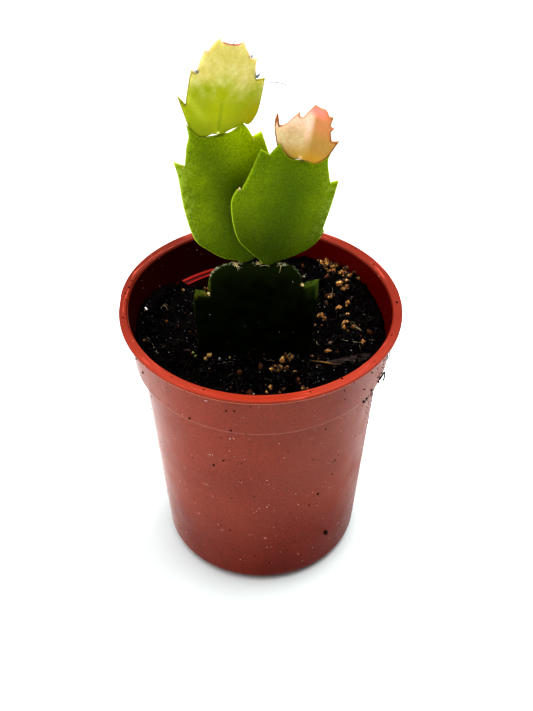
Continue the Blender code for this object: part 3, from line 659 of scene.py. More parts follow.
draw = random.Random(31)
bm, tint = start_lumps()
for x, y, size, hue in (
    (-12.6, -9.6, (1.9, 1.5, 1.3), 0.5), (-13.4, -10.5, (1.7, 1.4, 1.1), 0.55),
    (-13.0, -10.0, (1.4, 1.6, 1.2), 0.45), (-10.0, -11.1, (0.9, 0.6, 0.8), 0.0),
    (-16.6, -8.8, (0.7, 0.5, 0.9), 0.95), (-16.0, -9.3, (0.9, 0.5, 0.5), 0.9),
    (-16.3, -9.8, (0.6, 0.8, 0.4), 0.85), (-29.4, 6.6, (0.9, 0.7, 0.8), 0.1),
    (-29.1, 5.9, (0.8, 0.6, 0.7), 0.0), (-29.6, 6.0, (0.5, 0.4, 0.4), 0.5),
    (-1.8, -23.4, (0.5, 0.5, 0.9), 0.2), (-12.5, -14.2, (0.5, 0.5, 0.4), 0.4),
    (-18.0, 17.5, (0.6, 0.5, 0.4), 0.3), (-7.6, -10.6, (0.7, 0.5, 0.4), 0.5),
    (-17.8, -9.6, (0.9, 0.4, 0.3), 0.5),
):
    add_lump(bm, tint, on_soil(x, y, 0.45 * size[2]), size, hue, draw)

# Chips and scraps: matt, from grey-white over tan to pale green from one to the next.
scrap, shader, place = start_material("pale chips and scraps", 0.6, 1.45)
shade = add_node(place.id_data, "Attribute", {}, attribute_name="tint").outputs["Fac"]
tan = layered("#D8B878", ("#8A6428", patches(place, 0.6, 0.4, 0.6)))
colour = layered("#E4E2DC", (tan, (shade, 0.15, 0.4)), ("#8C9C34", (shade, 0.7, 0.85)))
finish_material(shader, colour)
add_piece("pale_scraps", bm, scrap)

# The planted segment. The cutting's oldest stem segment, thick, leathery and dark green, with one blunt
# tooth a side and a rounded top that carries both branches. A third of it stands in the soil.
CORNER = "corner"
TIP = "tip"
NOTCH = "notch"
OUTLINE_STEP = 0.45
CELL = 0.55
JOINT_HEIGHT = 93.55
# Points up the left margin, over the top and down the right one, as across and up from the segment's joint.
# The margin is sharp at those with a word, and bends round the others.
PLANTED_OUTLINE = (
    (-2.0, -39.4, CORNER), (-5.2, -38.5), (-9.8, -35.0), (-13.2, -30.0), (-14.5, -25.0), (-15.1, -17.8),
    (-15.3, -11.5), (-14.8, -8.1, TIP), (-11.6, -8.9, NOTCH), (-11.5, -5.2), (-9.6, -1.7), (-6.0, -0.2),
    (-2.0, 0.0), (3.8, 0.0), (7.9, -0.8), (10.1, -3.3), (10.7, -6.3, NOTCH), (14.7, -5.0, TIP),
    (14.4, -12.0), (13.8, -19.3), (13.2, -26.0), (11.6, -31.5), (7.8, -36.4), (4.4, -38.6),
    (2.0, -39.4, CORNER),
)


def curve_between(before, start, end, after, steps):
    """Points from start up to but not including end, on the Catmull-Rom curve through the four points."""
    before, start, end, after = (Vector(point[:2]) for point in (before, start, end, after))
    slope, next_slope = (end - before) / 2, (after - start) / 2
    points = []
    for t in (k / steps for k in range(steps)):
        swing = (3 * (end - start) - 2 * slope - next_slope) * t**2
        points.append(start + slope * t + swing + (2 * (start - end) + slope + next_slope) * t**3)
    return points


def drawn_outline(points, step):
    """The closed outline as points about a step apart, with its round stretches drawn as curves."""
    drawn = []
    for k, start in enumerate(points):
        end = points[(k + 1) % len(points)]
        before = points[k - 1] if len(start) == 2 else start
        after = points[(k + 2) % len(points)] if len(end) == 2 else end
        steps = max(1, round(math.dist(start[:2], end[:2]) / step))
        drawn += curve_between(before, start, end, after, steps)
    return drawn


def inward_distances(points, outline):
    """How far inside the closed outline each point lies."""
    starts = np.array([tuple(point) for point in outline])
    sides = np.roll(starts, -1, axis=0) - starts
    offsets = np.array(points)[:, None] - starts
    share = np.clip((offsets * sides).sum(-1) / (sides**2).sum(-1), 0.0, 1.0)
    return np.linalg.norm(offsets - share[..., None] * sides, axis=-1).min(axis=1)


def stem_segment(points, place, middle, margin, bow, relief):
    """A flat, fleshy segment at its place: thick in its middle, round at its margins, bowed, in relief."""
    outline = drawn_outline(points, OUTLINE_STEP)
    bm = bmesh.new()
    bm.faces.new([bm.verts.new((u * MM, 0.0, v * MM)) for u, v in outline])
    for axis, normal in ((0, (1.0, 0.0, 0.0)), (1, (0.0, 0.0, 1.0))):
        low = min(point[axis] for point in outline)
        high = max(point[axis] for point in outline)
        for k in range(math.ceil(low / CELL), math.floor(high / CELL) + 1):
            cut = {"dist": 0.09 * MM, "plane_co": Vector(normal) * k * CELL * MM, "plane_no": normal}
            bmesh.ops.bisect_plane(bm, geom=bm.verts[:] + bm.edges[:] + bm.faces[:], **cut)
    front_count = len(bm.verts)
    bmesh.ops.extrude_face_region(bm, geom=bm.faces[:])
    layer = bm.verts.layers.float_vector.new("blade")
    places = [(vert.co.x / MM, vert.co.z / MM) for vert in bm.verts]
    for k, (vert, (u, v), inward) in enumerate(zip(bm.verts, places, inward_distances(places, outline))):
        swelling = min(1.0, inward / 6.0)
        rim = 1.0 - min(1.0, inward / (0.45 * margin))
        half = margin / 2 * (0.3 + 0.7 * math.sqrt(1.0 - rim**2))
        half += (middle - margin) / 2 * swelling * (2.0 - swelling) + relief(u, v, inward)
        side = -1.0 if k < front_count else 1.0
        vert.co.y = (side * half + bow(u, v)) * MM
        vert[layer] = (u, v, inward)
    bmesh.ops.recalc_face_normals(bm, faces=bm.faces[:])
    bmesh.ops.transform(bm, matrix=place, verts=bm.verts[:])
    return bm


def joint_place(joint, turn, tilt, lean):
    """Where a segment sits on the one below: turned about its length, tilted back, and leaned right."""
    angles = Euler((math.radians(-tilt), math.radians(lean), math.radians(turn)), "YXZ")
    return Matrix.Translation(Vector(joint) * MM) @ angles.to_matrix().to_4x4()


def planted_relief(u, v, inward):
    """The old segment's midrib and unevenness, which fade out at its margin."""
    midrib = 0.2 * math.exp(-((u / 1.6) ** 2)) * min(1.0, inward / 4.0)
    return midrib + 0.1 * noise.noise(Vector((u, v, 0.0)) * 0.3) * min(1.0, inward)


def start_skin(name, roughness, specular, lit=0.0, radii=(1.0, 1.0, 0.3), depth=1.2):
    """A skin with this much light passing into it, its place, and across, sideways, up and inward on it."""
    material, shader, place = start_material(name, roughness, 1.4, specular)
    settings = {"Subsurface Weight": lit, "Subsurface Radius": radii, "Subsurface Scale": depth * MM}
    for socket, value in settings.items():
        shader.inputs[socket].default_value = value
    blade = add_node(shader.id_data, "Attribute", {}, attribute_name="blade").outputs["Vector"]
    across, up, inward = add_node(shader.id_data, "SeparateXYZ", {0: blade}).outputs
    sideways = add_node(shader.id_data, "Math", {0: across}, operation="ABSOLUTE").outputs[0]
    return material, shader, place, across, sideways, up, inward


# Old cactus skin: leathery and nearly black-green, its darkness partly painted shade. Its shoulders, teeth
# and the teeth's crests are painted lighter and greener, as light from above, gold on the left crest, with a
# painted highlight along its margin.
old_skin, shader, place, across, sideways, up, inward = start_skin("old dark green cactus skin in painted light and shade", 0.55, 0.04)
lit_crest = product((sideways, 10.6, 11.6), (inward, 1.2, 0.4), (up, -11.0, -8.4))
toothed = patches(place, 1.2, 0.3, 0.65, 0.3, 1.0)
colour = layered(
    "#070C00",
    ("#121C01", patches(place, 2.5, 0.35, 0.7)),
    # Painted light: the shoulders, the teeth and their crests lighter and greener.
    ("#1E2A01", (up, -11.0, -0.4), (inward, 6.0, 0.6)),
    ("#304206", (sideways, 10.6, 12.6), (up, -11.5, -7.0), toothed),
    ("#4E5E1E", lit_crest),
    ("#7A6424", lit_crest, (across, -10.0, -12.0), patches(place, 0.7, 0.5, 0.62)),
    # A painted highlight along the margin.
    ("#303E12", (inward, 0.35, 0.05), patches(place, 0.8, 0.42, 0.6)),
    ("#8A9A70", dots(place, 1.9, 0.13, 0.3, 5.0)),
)
finish_material(shader, colour, patches(place, 0.45, 0.3, 0.7), 0.08, 0.4)
planted_place = Matrix.Translation(Vector((*PLANT_PLACE, JOINT_HEIGHT)) * MM)
bm = stem_segment(PLANTED_OUTLINE, planted_place, 2.9, 1.5, lambda u, v: 0.0, planted_relief)
add_piece("planted_segment", bm, old_skin, "base_segment")

# The two green segments. Grown, flat stem segments that branch side by side from the planted one's top
# edge, each on a small round nub. Pointed teeth stand at their corners, and the right one overlaps the left
# in front.
LEFT_OUTLINE = (
    (-1.2, 0.0, CORNER), (-1.8, 0.6), (-4.9, 2.2), (-7.9, 5.3), (-10.4, 9.2), (-11.0, 17.5), (-10.5, 26.0),
    (-10.7, 30.2, TIP), (-8.4, 28.5, NOTCH), (-7.1, 33.0), (-6.1, 35.4), (-6.0, 38.6, TIP), (-4.8, 36.0),
    (-3.3, 34.6), (-1.2, 34.2), (1.0, 34.1), (3.2, 34.0), (6.1, 35.3, TIP), (7.0, 33.4),
    (7.6, 31.3, NOTCH), (9.8, 31.9, TIP), (10.4, 26.5), (11.1, 20.0), (10.7, 12.0), (8.6, 6.4), (5.5, 2.7),
    (2.9, 0.9), (1.8, 0.0, CORNER),
)
RIGHT_OUTLINE = (
    (-1.3, 0.0, CORNER), (-2.1, 0.9), (-4.9, 2.9), (-8.1, 5.7), (-10.6, 10.0), (-12.8, 16.5),
    (-12.4, 20.1, TIP), (-11.3, 20.2, NOTCH), (-10.5, 24.2), (-9.6, 31.2, TIP), (-7.2, 29.9, NOTCH),
    (-5.7, 32.9, TIP), (-4.2, 30.9), (-2.2, 29.4), (0.6, 29.2), (3.2, 29.2), (4.8, 29.8), (6.3, 31.7, TIP),
    (6.3, 29.8), (8.4, 24.5, NOTCH), (10.1, 25.4, TIP), (10.4, 19.0), (10.4, 12.0, NOTCH),
    (10.9, 11.2, TIP), (9.9, 7.6), (7.9, 4.9), (4.6, 2.1), (2.0, 0.8), (1.3, 0.0, CORNER),
)


def green_relief(u, v, inward):
    """A green segment's nub at its foot, its midrib and its soft unevenness."""
    nub = 0.45 * math.exp(-(u**2 + (v - 0.6) ** 2) / 3.5)
    midrib = 0.13 * math.exp(-((u / 1.8) ** 2)) * min(1.0, inward / 5.0)
    return nub + midrib + 0.09 * noise.noise(Vector((u, v, 3.0)) * 0.22) * min(1.0, inward)


def green_skin(name, flank, heart, foot, lit_crown, outer_side, seed):
    """Living cactus skin, waxy and slightly see-through, deeper green in its middle, in painted light and
    shade.
    """
    skin = start_skin(name, 0.45, 0.12, 0.45, (0.9, 1.0, 0.05))
    material, shader, place, across, sideways, up, inward = skin
    colour = layered(
        flank,
        (heart, (sideways, 7.0, 0.5), (up, 38.0, 20.0, 0.4, 1.0)),
        (heart, patches(place, 4.0, 0.35, 0.7, 0.0, 0.5)),
        # Painted light on the upper part, towards the right.
        (lit_crown, (up, 20.0, 33.0), (across, -4.0, 7.0)),
        # Painted shade at the foot.
        (foot, (up, 20.0, 2.0, 0.0, 0.6)),
    )
    colour = layered(colour, ("#CFCFCF", patches(place, 0.28, 0.3, 0.7, 0.0, 1.0, 2.0)), how="MULTIPLY")
    outwards = product(across, outer_side)
    # Painted sheen near the outer side's margin, in powdery patches.
    painted_sheen = product((outwards, 4.0, 10.5, 0.0, 0.36), patches(place, 0.9, 0.44, 0.62))
    colour = layered(
        colour,
        # A painted highlight along the lower margins.
        ("#BCCC40", (inward, 0.3, 0.05), (up, 26.0, 8.0, 0.25, 1.0)),
        ("#C4D070", painted_sheen, (up, 7.0, 13.0), (inward, 4.0, 0.5)),
        ("#2E3A08", dots(place, 1.6, 0.1, 0.3, seed)),
        # Small pale painted sparkles.
        ("#DDE8B8", dots(place, 3.2, 0.12, 0.3, seed + 9.0)),
    )
    roughness = patches(place, 3.0, 0.3, 0.7, 0.36, 0.52)
    finish_material(shader, colour, patches(place, 0.4, 0.3, 0.7), 0.06, 0.35, roughness)
    return material


left_place = planted_place @ joint_place((-2.6, 0.5, 0.3), 12.0, 3.0, -9.7)
right_place = planted_place @ joint_place((2.2, -0.5, 0.3), 10.0, -3.0, 14.3)
left_skin = green_skin("green cactus skin, left", "#9AAE00", "#728800", "#587000", "#BACC00", -1.0, 2.0)
right_skin = green_skin("green cactus skin, right", "#90A600", "#708800", "#364A00", "#98AE00", 1.0, 7.0)
bm = stem_segment(LEFT_OUTLINE, left_place, 2.4, 1.0, lambda u, v: 0.6 * (u / 11.0) ** 2, green_relief)
add_piece("left_stem_segment", bm, left_skin, "left_segment")
bm = stem_segment(RIGHT_OUTLINE, right_place, 2.4, 1.0, lambda u, v: -0.6 * (u / 11.0) ** 2, green_relief)
add_piece("right_stem_segment", bm, right_skin, "right_segment")

# The left young segment. This season's growth on the left branch, thin and soft, yellow-green low down and
# pale straw above, where the skin is still wrinkled. Its margins and small pointed teeth are flushed pink.
YOUNG_LEFT_OUTLINE = (
    (-1.1, 0.0, CORNER), (-2.3, -0.75), (-3.7, -1.05), (-5.0, -0.65), (-6.1, 0.4), (-6.9, 2.1),
    (-8.5, 5.8), (-9.6, 8.4, TIP), (-7.6, 6.5, NOTCH), (-7.5, 10.4), (-7.2, 14.7, TIP),
    (-6.1, 14.0, NOTCH), (-5.5, 17.2), (-4.8, 19.6, TIP), (-4.2, 19.0, NOTCH), (-3.2, 21.0),
    (-1.9, 22.6, TIP), (-1.4, 21.6, NOTCH), (0.5, 21.2), (2.3, 21.3), (3.1, 22.2, TIP), (3.8, 20.7),
    (5.2, 18.2, NOTCH), (6.5, 18.2, TIP), (6.5, 15.8), (6.9, 13.2, NOTCH), (8.8, 13.6, TIP), (8.6, 8.6),
    (8.2, 5.4), (7.2, 3.2), (6.3, 2.5), (5.5, 2.9, NOTCH), (4.0, 1.8), (2.4, 1.0), (1.1, 0.0, CORNER),
)


def young_left_relief(u, v, inward):
    """A nub at the foot, and fine wrinkles that slant up from the midrib in the upper part."""
    nub = 0.4 * math.exp(-((u**2 + (v - 0.8) ** 2) / 0.8))
    wrinkled = min(1.0, max(0.0, (v - 8.0) / 6.0)) * min(1.0, inward)
    slant = v * 1.5 - abs(u) * 0.9 + 1.6 * noise.noise(Vector((u, v, 6.0)) * 0.5)
    return nub + wrinkled * 0.06 * math.sin(slant * 2.4) + 0.06 * noise.noise(Vector((u, v, 1.0)) * 0.3)


# Young cactus skin: thin, translucent and shiny, without much green yet, with painted sheen along its
# wrinkles.
skin = start_skin("young yellow-green cactus skin", 0.38, 0.3, 0.5)
young_skin, shader, place, across, sideways, up, inward = skin
tree = shader.id_data
wavy = patches(place, 3.0, 0.3, 0.7, -2.4, 2.4)
border = add_node(tree, "Math", {0: up, 1: wavy}, operation="ADD").outputs[0]
along = add_node(tree, "Math", {0: sideways, 1: up}, operation="ADD").outputs[0]
apart = add_node(tree, "Math", {0: up, 1: sideways}, operation="SUBTRACT").outputs[0]
inputs = {"X": along, "Y": product(apart, 1.6), "Z": product(across, 1.5)}
slanted = add_node(tree, "CombineXYZ", inputs).outputs[0]
crossing = add_node(tree, "Math", {0: up, 1: across}, operation="ADD").outputs[0]
colour = layered(
    "#B0B800",
    ("#E0D484", (border, 8.0, 15.0)),
    ("#BEC200", (sideways, 5.0, 0.3), (up, 17.0, 9.0)),
    # Painted sheen: pale streaks that slant up from the midrib.
    ("#F4EEC0", patches(slanted, 3.0, 0.4, 0.75), (up, 6.0, 13.0, 0.0, 0.45)),
    ("#96A400", (sideways, 0.7, 0.1), (up, 12.0, 3.0, 0.0, 0.5)),
    ("#DCDC60", (crossing, -1.6, 0.5), (crossing, 3.2, 1.0), (across, -1.5, -5.0, 0.0, 0.32)),
    ("#CCAE00", (across, 2.5, 7.5), (up, 12.0, 3.0), 0.5),
    ("#8E9A00", (up, 5.0, 0.0, 0.0, 0.45)),
)
colour = layered(colour, ("#F6F6EE", patches(place, 0.35, 0.3, 0.7, 0.0, 1.0, 2.0)), how="MULTIPLY")
colour = layered(
    colour,
    ("#F2F4A8", (sideways, 0.5, 0.1), (up, 1.3, 0.7)),
    ("#F2CCB0", (inward, 0.35, 0.05), (up, 13.0, 16.0)),
    ("#948C1C", (inward, 0.35, 0.05), (up, 16.0, 13.0)),
    ("#B8705C", (inward, 0.3, 0.1), (across, 2.9, 2.3), (across, -1.5, -0.9), (up, 19.0, 21.0)),
)
finish_material(shader, colour, patches(place, 0.7, 0.3, 0.7), 0.12, 0.5)
young_left_place = left_place @ joint_place((0.2, 0.0, 34.4), -4.0, -1.0, 17.7)
shape = (YOUNG_LEFT_OUTLINE, young_left_place, 1.8, 0.8, lambda u, v: 0.5 * (u / 8.0) ** 2, young_left_relief)
add_piece("young_left_segment", stem_segment(*shape), young_skin, "left_tip_segment")

# The right young segment. Barely opened growth on the right branch, still folded forward along its midrib,
# with no green in it yet: cream and tan, pink at its edges, and salmon red at the top, with brown tips to
# its teeth.
YOUNG_RIGHT_OUTLINE = (
    (-1.0, -0.1, CORNER), (-2.5, -0.2), (-4.3, 0.9), (-5.7, 2.5), (-6.4, 4.6), (-7.1, 7.6), (-7.2, 9.6),
    (-6.9, 11.1, TIP), (-6.1, 7.9, NOTCH), (-4.9, 8.4), (-3.8, 10.0), (-2.4, 11.8, TIP), (-2.3, 10.6),
    (-1.5, 10.4, NOTCH), (-1.0, 11.6), (0.4, 14.0, TIP), (1.6, 13.8), (3.1, 13.9), (4.0, 12.7, NOTCH),
    (5.0, 13.1, TIP), (4.7, 10.7, NOTCH), (5.7, 10.6, TIP), (5.1, 9.3), (5.7, 7.4, NOTCH), (7.3, 8.3, TIP),
    (6.4, 5.7), (5.3, 3.0), (3.2, 0.45), (1.0, -0.1, CORNER),
)


def young_right_relief(u, v, inward):
    """A nub at the foot, and a very slight unevenness."""
    nub = 0.35 * math.exp(-((u**2 + (v - 0.8) ** 2) / 0.7))
    return nub + 0.05 * noise.noise(Vector((u, v, 8.0)) * 0.4)


def folded_forward(u, v):
    """How far each half comes forward of the midrib's line, which is at zero."""
    return -0.36 * (math.hypot(u, 0.8) - 0.8)


# New cactus skin: waxy cream that the light shines through, flushed pink. Its fold is painted in light and
# shade, with a painted highlight along the midrib, and its salmon top is partly a painted glow.
skin = start_skin("new cream and pink cactus skin", 0.36, 0.3, 0.5, (1.0, 0.6, 0.4), 1.0)
blush_skin, shader, place, across, sideways, up, inward = skin
colour = layered(
    "#E4D2A6",
    # The right half, tan: partly its own colour, partly painted shade of the fold.
    ("#C09C54", (across, -1.0, 1.8)),
    ("#CCA41C", (up, 5.0, 0.5, 0.0, 0.8)),
    # Painted light on the upper left half, and painted shade on the upper right one.
    ("#F2DCC6", (up, 5.5, 10.0), (across, 2.0, -1.0)),
    ("#D29A68", (up, 6.0, 10.0), (across, 0.0, 2.0)),
    # A painted highlight along the midrib's crease.
    ("#FFE6DA", (across, -1.2, 0.0), (across, 1.6, 0.2), (up, 3.0, 8.0), 0.5),
    # Salmon at the top: partly its own flush, partly a painted glow of light shining through.
    ("#FFA496", (up, 10.8, 13.0), (across, -2.0, 0.5), (across, 4.8, 2.4)),
    ("#C08C6C", (inward, 0.4, 0.05), (up, 2.0, 8.0, 0.0, 0.8)),
    ("#9C6C46", (inward, 0.3, 0.1), (sideways, 5.2, 6.4)),
    ("#F4DCB0", (across, -1.3, -0.7), (across, 0.1, -0.5), (up, 1.6, 0.6)),
    ("#8A5A2C", (inward, 0.45, 0.1), (up, 9.0, 5.0)),
    ("#CC9C5C", patches(place, 1.6, 0.45, 0.7, 0.0, 0.3)),
)
colour = layered(colour, ("#F8F4F2", patches(place, 0.4, 0.3, 0.7, 0.0, 1.0, 2.0)), how="MULTIPLY")
finish_material(shader, colour, patches(place, 0.5, 0.3, 0.7), 0.06, 0.3)
young_right_place = right_place @ joint_place((0.6, 0.0, 29.55), -26.0, -2.0, -6.0)
bm = stem_segment(YOUNG_RIGHT_OUTLINE, young_right_place, 1.3, 0.7, folded_forward, young_right_relief)
add_piece("young_right_segment", bm, blush_skin, "right_tip_segment")

# The areoles. Each notch and joint of the plant bears a tiny cushion of wool and bristles: corky and cream
# on the old segment's top, nearly white in the green notches, grey on the young segment. They grow out of
# the margin.
draw = random.Random(17)
HAIR_STEPS = 3


def on_segment(place, point):
    """Where a segment's point, as across, away and up from its joint, is on the object."""
    return place @ (Vector(point) * MM) / MM


def tuft(place, u, v, depth, count, length, radius, rise, spread):
    """Short fine hairs from one spot of a segment, towards the viewer, to both sides and up or down."""
    routes = []
    for _ in range(count):
        start = Vector((u + draw.uniform(-spread, spread), -depth, v + draw.uniform(-spread, spread) * 0.6))
        aim = Vector((draw.uniform(-1.0, 1.0), draw.uniform(-0.9, 0.1), rise + draw.uniform(-0.7, 0.7)))
        aim.normalize()
        curl = Vector([draw.uniform(-0.35, 0.35) for _ in range(3)])
        reach = length * draw.uniform(0.5, 1.0)
        route = []
        for share in (k / HAIR_STEPS for k in range(HAIR_STEPS + 1)):
            spot = on_segment(place, start + aim * reach * share + curl * reach * share**2)
            route.append((*spot, radius * (1.0 - 0.6 * share)))
        routes.append(route)
    return routes


wool_routes = []
for row in (
    (planted_place, -5.0, 0.1, 0.8, 16, 1.1, 0.075, 0.0, 0.7),
    (planted_place, -4.6, -0.3, 1.0, 5, 0.9, 0.06, -0.8, 0.4),
    (planted_place, 0.2, 0.3, 0.7, 14, 0.7, 0.07, 0.3, 0.6),
    (planted_place, 5.4, 0.1, 0.7, 12, 0.8, 0.06, 0.2, 0.7),
    (planted_place, 10.7, -6.0, 0.6, 16, 0.5, 0.09, 0.3, 0.3),
    (planted_place, -11.6, -8.7, 0.6, 12, 0.7, 0.08, 0.3, 0.35),
    (planted_place, 11.0, -3.8, 0.4, 6, 0.6, 0.06, 0.3, 0.3),
    (right_place, -11.9, 20.2, 0.7, 18, 0.45, 0.11, 0.3, 0.2),
    (left_place, -8.9, 28.6, 0.4, 8, 0.5, 0.06, 0.5, 0.2),
    (left_place, 7.7, 31.0, 0.4, 8, 0.5, 0.06, 0.5, 0.2),
    (young_left_place, 0.4, 21.2, 0.2, 26, 0.8, 0.06, 0.5, 1.3),
    (young_left_place, -4.4, 19.2, 0.2, 10, 0.7, 0.05, 0.7, 0.3),
):
    wool_routes += tuft(*row)
for start, end, rise in (((5.6, 0.3), (5.3, -1.9), 0.0), ((0.6, -0.1), (3.0, -0.1), 0.35)):
    route = []
    for t in (0.0, 0.25, 0.5, 0.75, 1.0):
        u, v = Vector(start).lerp(Vector(end), t)
        route.append((*on_segment(planted_place, (u, -1.35, v + rise * math.sin(math.pi * t))), 0.06))
    wool_routes.append(route)

# Areole wool: matt cream-white hair with yellower patches.
wool, shader, place = start_material("areole wool", 0.7, 1.5, 0.2)
finish_material(shader, layered("#F2E4BE", ("#B09050", patches(place, 1.2, 0.4, 0.65))))
add_strands("areole_wool", wool_routes, wool)

# The cushions under the wool, each of a few small lumps.
CUSHION_LUMPS = 5
bm, tint = start_lumps()
for segment_place, u, v, depth, size in (
    (right_place, -11.8, 20.2, 0.75, 0.9), (planted_place, 10.8, -6.1, 0.9, 0.9),
    (planted_place, -11.6, -8.7, 0.8, 0.9), (planted_place, -4.9, 0.2, 1.0, 0.8),
    (planted_place, 0.2, 0.3, 0.9, 0.7), (right_place, 8.5, 24.5, 0.5, 0.4),
):
    for _ in range(CUSHION_LUMPS):
        spread = Vector([draw.uniform(-0.3, 0.3) * size for _ in range(3)])
        spot = on_segment(segment_place, Vector((u, -depth, v)) + spread)
        add_lump(bm, tint, spot, (size * 0.6, size * 0.5, size * 0.5), 0.0, draw)
add_piece("areole_cushions", bm, wool)

bristle_routes = []
for row in (
    (young_left_place, -6.2, 14.3, 0.1, 20, 1.0, 0.045, 0.9, 0.4),
    (young_left_place, 5.0, 18.5, 0.1, 18, 1.1, 0.04, 1.0, 0.35),
    (young_left_place, 6.9, 14.0, 0.1, 22, 1.6, 0.045, 1.2, 0.4),
    (young_left_place, 0.5, 21.2, 0.2, 22, 0.8, 0.045, 0.6, 1.2),
    (young_left_place, -7.6, 6.7, 0.1, 8, 0.6, 0.028, 0.4, 0.15),
    (young_right_place, -5.6, 8.0, -0.8, 10, 0.5, 0.025, 0.9, 0.3),
    (young_right_place, -1.6, 10.4, -0.1, 6, 0.4, 0.025, 0.9, 0.15),
):
    bristle_routes += tuft(*row)
route = []
for t in (0.0, 0.2, 0.4, 0.6, 0.8, 1.0):
    spot = on_segment(young_left_place, (8.9 + 4.5 * t, -0.2, 13.1 - 0.55 * t + 0.5 * math.sin(3.0 * t) * t))
    route.append((*spot, 0.1))
bristle_routes.append(route)

# Areole bristle: fine stiff hair, grey with paler stretches.
bristle, shader, place = start_material("grey areole bristle", 0.5, 1.5)
finish_material(shader, layered("#6A6E78", ("#B0B0B8", patches(place, 0.8, 0.4, 0.65))))
add_strands("areole_bristles", bristle_routes, bristle)

# Cork. The scarred, lumpy crust along the old segment's top edge, where segments were joined, is made of
# small lumps: thickest at the left, with some at both joints and a few scars lower on its face.
bm, tint = start_lumps()
outline = drawn_outline(PLANTED_OUTLINE, 0.3)
top_line = np.array(sorted(tuple(point) for point in outline if point.y > -6.0 and -11.6 < point.x < 10.6))
for low_u, high_u, count, smallest, largest in (
    (-11.3, -3.4, 110, 0.25, 0.6), (-1.0, 1.4, 14, 0.35, 0.8),
    (4.2, 6.8, 18, 0.35, 0.8), (7.0, 10.5, 16, 0.2, 0.4),
):
    for _ in range(count):
        u = draw.uniform(low_u, high_u)
        edge = np.interp(u, top_line[:, 0], top_line[:, 1]) + draw.uniform(-0.15, 0.12)
        spot = on_segment(planted_place, (u, draw.uniform(-0.6, 0.3), edge))
        size = draw.uniform(smallest, largest)
        add_lump(bm, tint, spot, (size, size * 0.7, size * 0.6), draw.random(), draw, 1, 0.25)
for u, v, size in (
    (8.4, -4.6, 0.5), (-3.0, -18.1, 0.3), (5.3, -20.0, 0.3), (8.7, -20.3, 0.3), (-11.4, -14.6, 0.3),
):
    spot = on_segment(planted_place, (u, -1.38, v))
    add_lump(bm, tint, spot, (size, size * 0.6, size * 1.3), 0.1, draw, 1, 0.25)

# Grey-green cork: matt, from grey to olive from lump to lump, with tan patches.
cork, shader, place = start_material("grey-green cork", 0.7, 1.45, 0.2)
shade = add_node(place.id_data, "Attribute", {}, attribute_name="tint").outputs["Fac"]
colour = layered("#A8AC94", ("#4A5030", shade), ("#B8B49A", patches(place, 0.5, 0.5, 0.65)))
finish_material(shader, colour)
add_piece("cork_crust", bm, cork)

# Soil on the pot. Crumbs splashed on the wall and the lip when it was filled, dark and angular, mostly
# under a millimetre; they are thickest on the right flank, where a dark thread also hooks over the band.


def round_place(around, radius, height):
    """The point at an angle in degrees and a radius round the pot's axis, and at a height."""
    turn = math.radians(around)
    return radius * math.cos(turn), radius * math.sin(turn), height


def wall_place(around, height, lift=0.0):
    """A point of the pot's outside, at an angle in degrees and a height, or this far out from it."""
    if height < STEP_HEIGHT:
        rising = (height - BASE_ROUNDING) / (STEP_HEIGHT - BASE_ROUNDING)
        return round_place(around, BASE_RADIUS + (WALL_TOP_RADIUS - BASE_RADIUS) * rising + lift, height)
    return round_place(around, BAND_FOOT_RADIUS + 1.2 * (height - STEP_HEIGHT) / 12.3 + lift, height)


FLANK_CRUMBS = 190
WALL_CRUMBS = 130
WALL_FLECKS = 90
bm, tint = start_lumps()
for around, height, size in (
    (-102.7, 62.4, 0.7), (-58.6, 32.5, 0.9), (-113.6, 45.9, 0.7), (-108.2, 48.7, 0.6), (-121.7, 62.6, 0.7),
    (-104.1, 69.2, 0.6), (-100.7, 69.6, 0.7), (-158.0, 68.1, 0.8), (-151.7, 66.5, 0.8),
    (-126.4, 72.3, 0.7), (-121.9, 72.0, 0.6), (-77.0, 53.0, 0.5), (-100.3, 42.2, 0.5), (-107.3, 20.9, 0.6),
    (-49.6, 42.8, 0.6), (-50.4, 37.7, 0.5), (-63.6, 29.4, 0.5), (-93.5, 11.0, 0.5), (-58.0, 57.0, 0.5),
    (-96.6, 59.6, 0.5), (-32.2, 57.6, 1.0), (-32.7, 62.4, 0.9), (-29.0, 57.2, 0.8), (-26.0, 62.4, 0.9),
    (-99.2, 48.9, 0.5), (-85.0, 8.0, 0.5), (-40.0, 66.0, 0.6), (-36.0, 70.0, 0.6), (-140.0, 60.0, 0.5),
):
    shape = (size, size * 0.8, size * 0.5)
    add_lump(bm, tint, wall_place(around, height), shape, draw.uniform(0.0, 0.4), draw)
for around, height, shape in (
    (-49.9, 13.8, (1.7, 1.0, 1.4)), (-49.0, 13.4, (0.8, 0.7, 1.0)), (-50.9, 14.2, (0.6, 0.5, 0.5)),
):
    add_lump(bm, tint, wall_place(around, height), shape, 0.93, draw, 1, 0.45)
for _ in range(FLANK_CRUMBS):
    around, height = draw.gauss(-15.0, 8.0), draw.gauss(62.0, 7.0)
    if height > 72.8:
        continue
    size = draw.uniform(0.18, 0.5)
    shape = (size, size * 0.8, size * 0.6)
    add_lump(bm, tint, wall_place(around, height), shape, draw.uniform(0.0, 0.6), draw)
for _ in range(WALL_CRUMBS):
    size = draw.uniform(0.18, 0.4)
    spot = wall_place(draw.uniform(-180.0, 180.0), draw.uniform(6.0, 72.0))
    add_lump(bm, tint, spot, (size, size * 0.8, size * 0.6), draw.uniform(0.0, 0.8), draw)
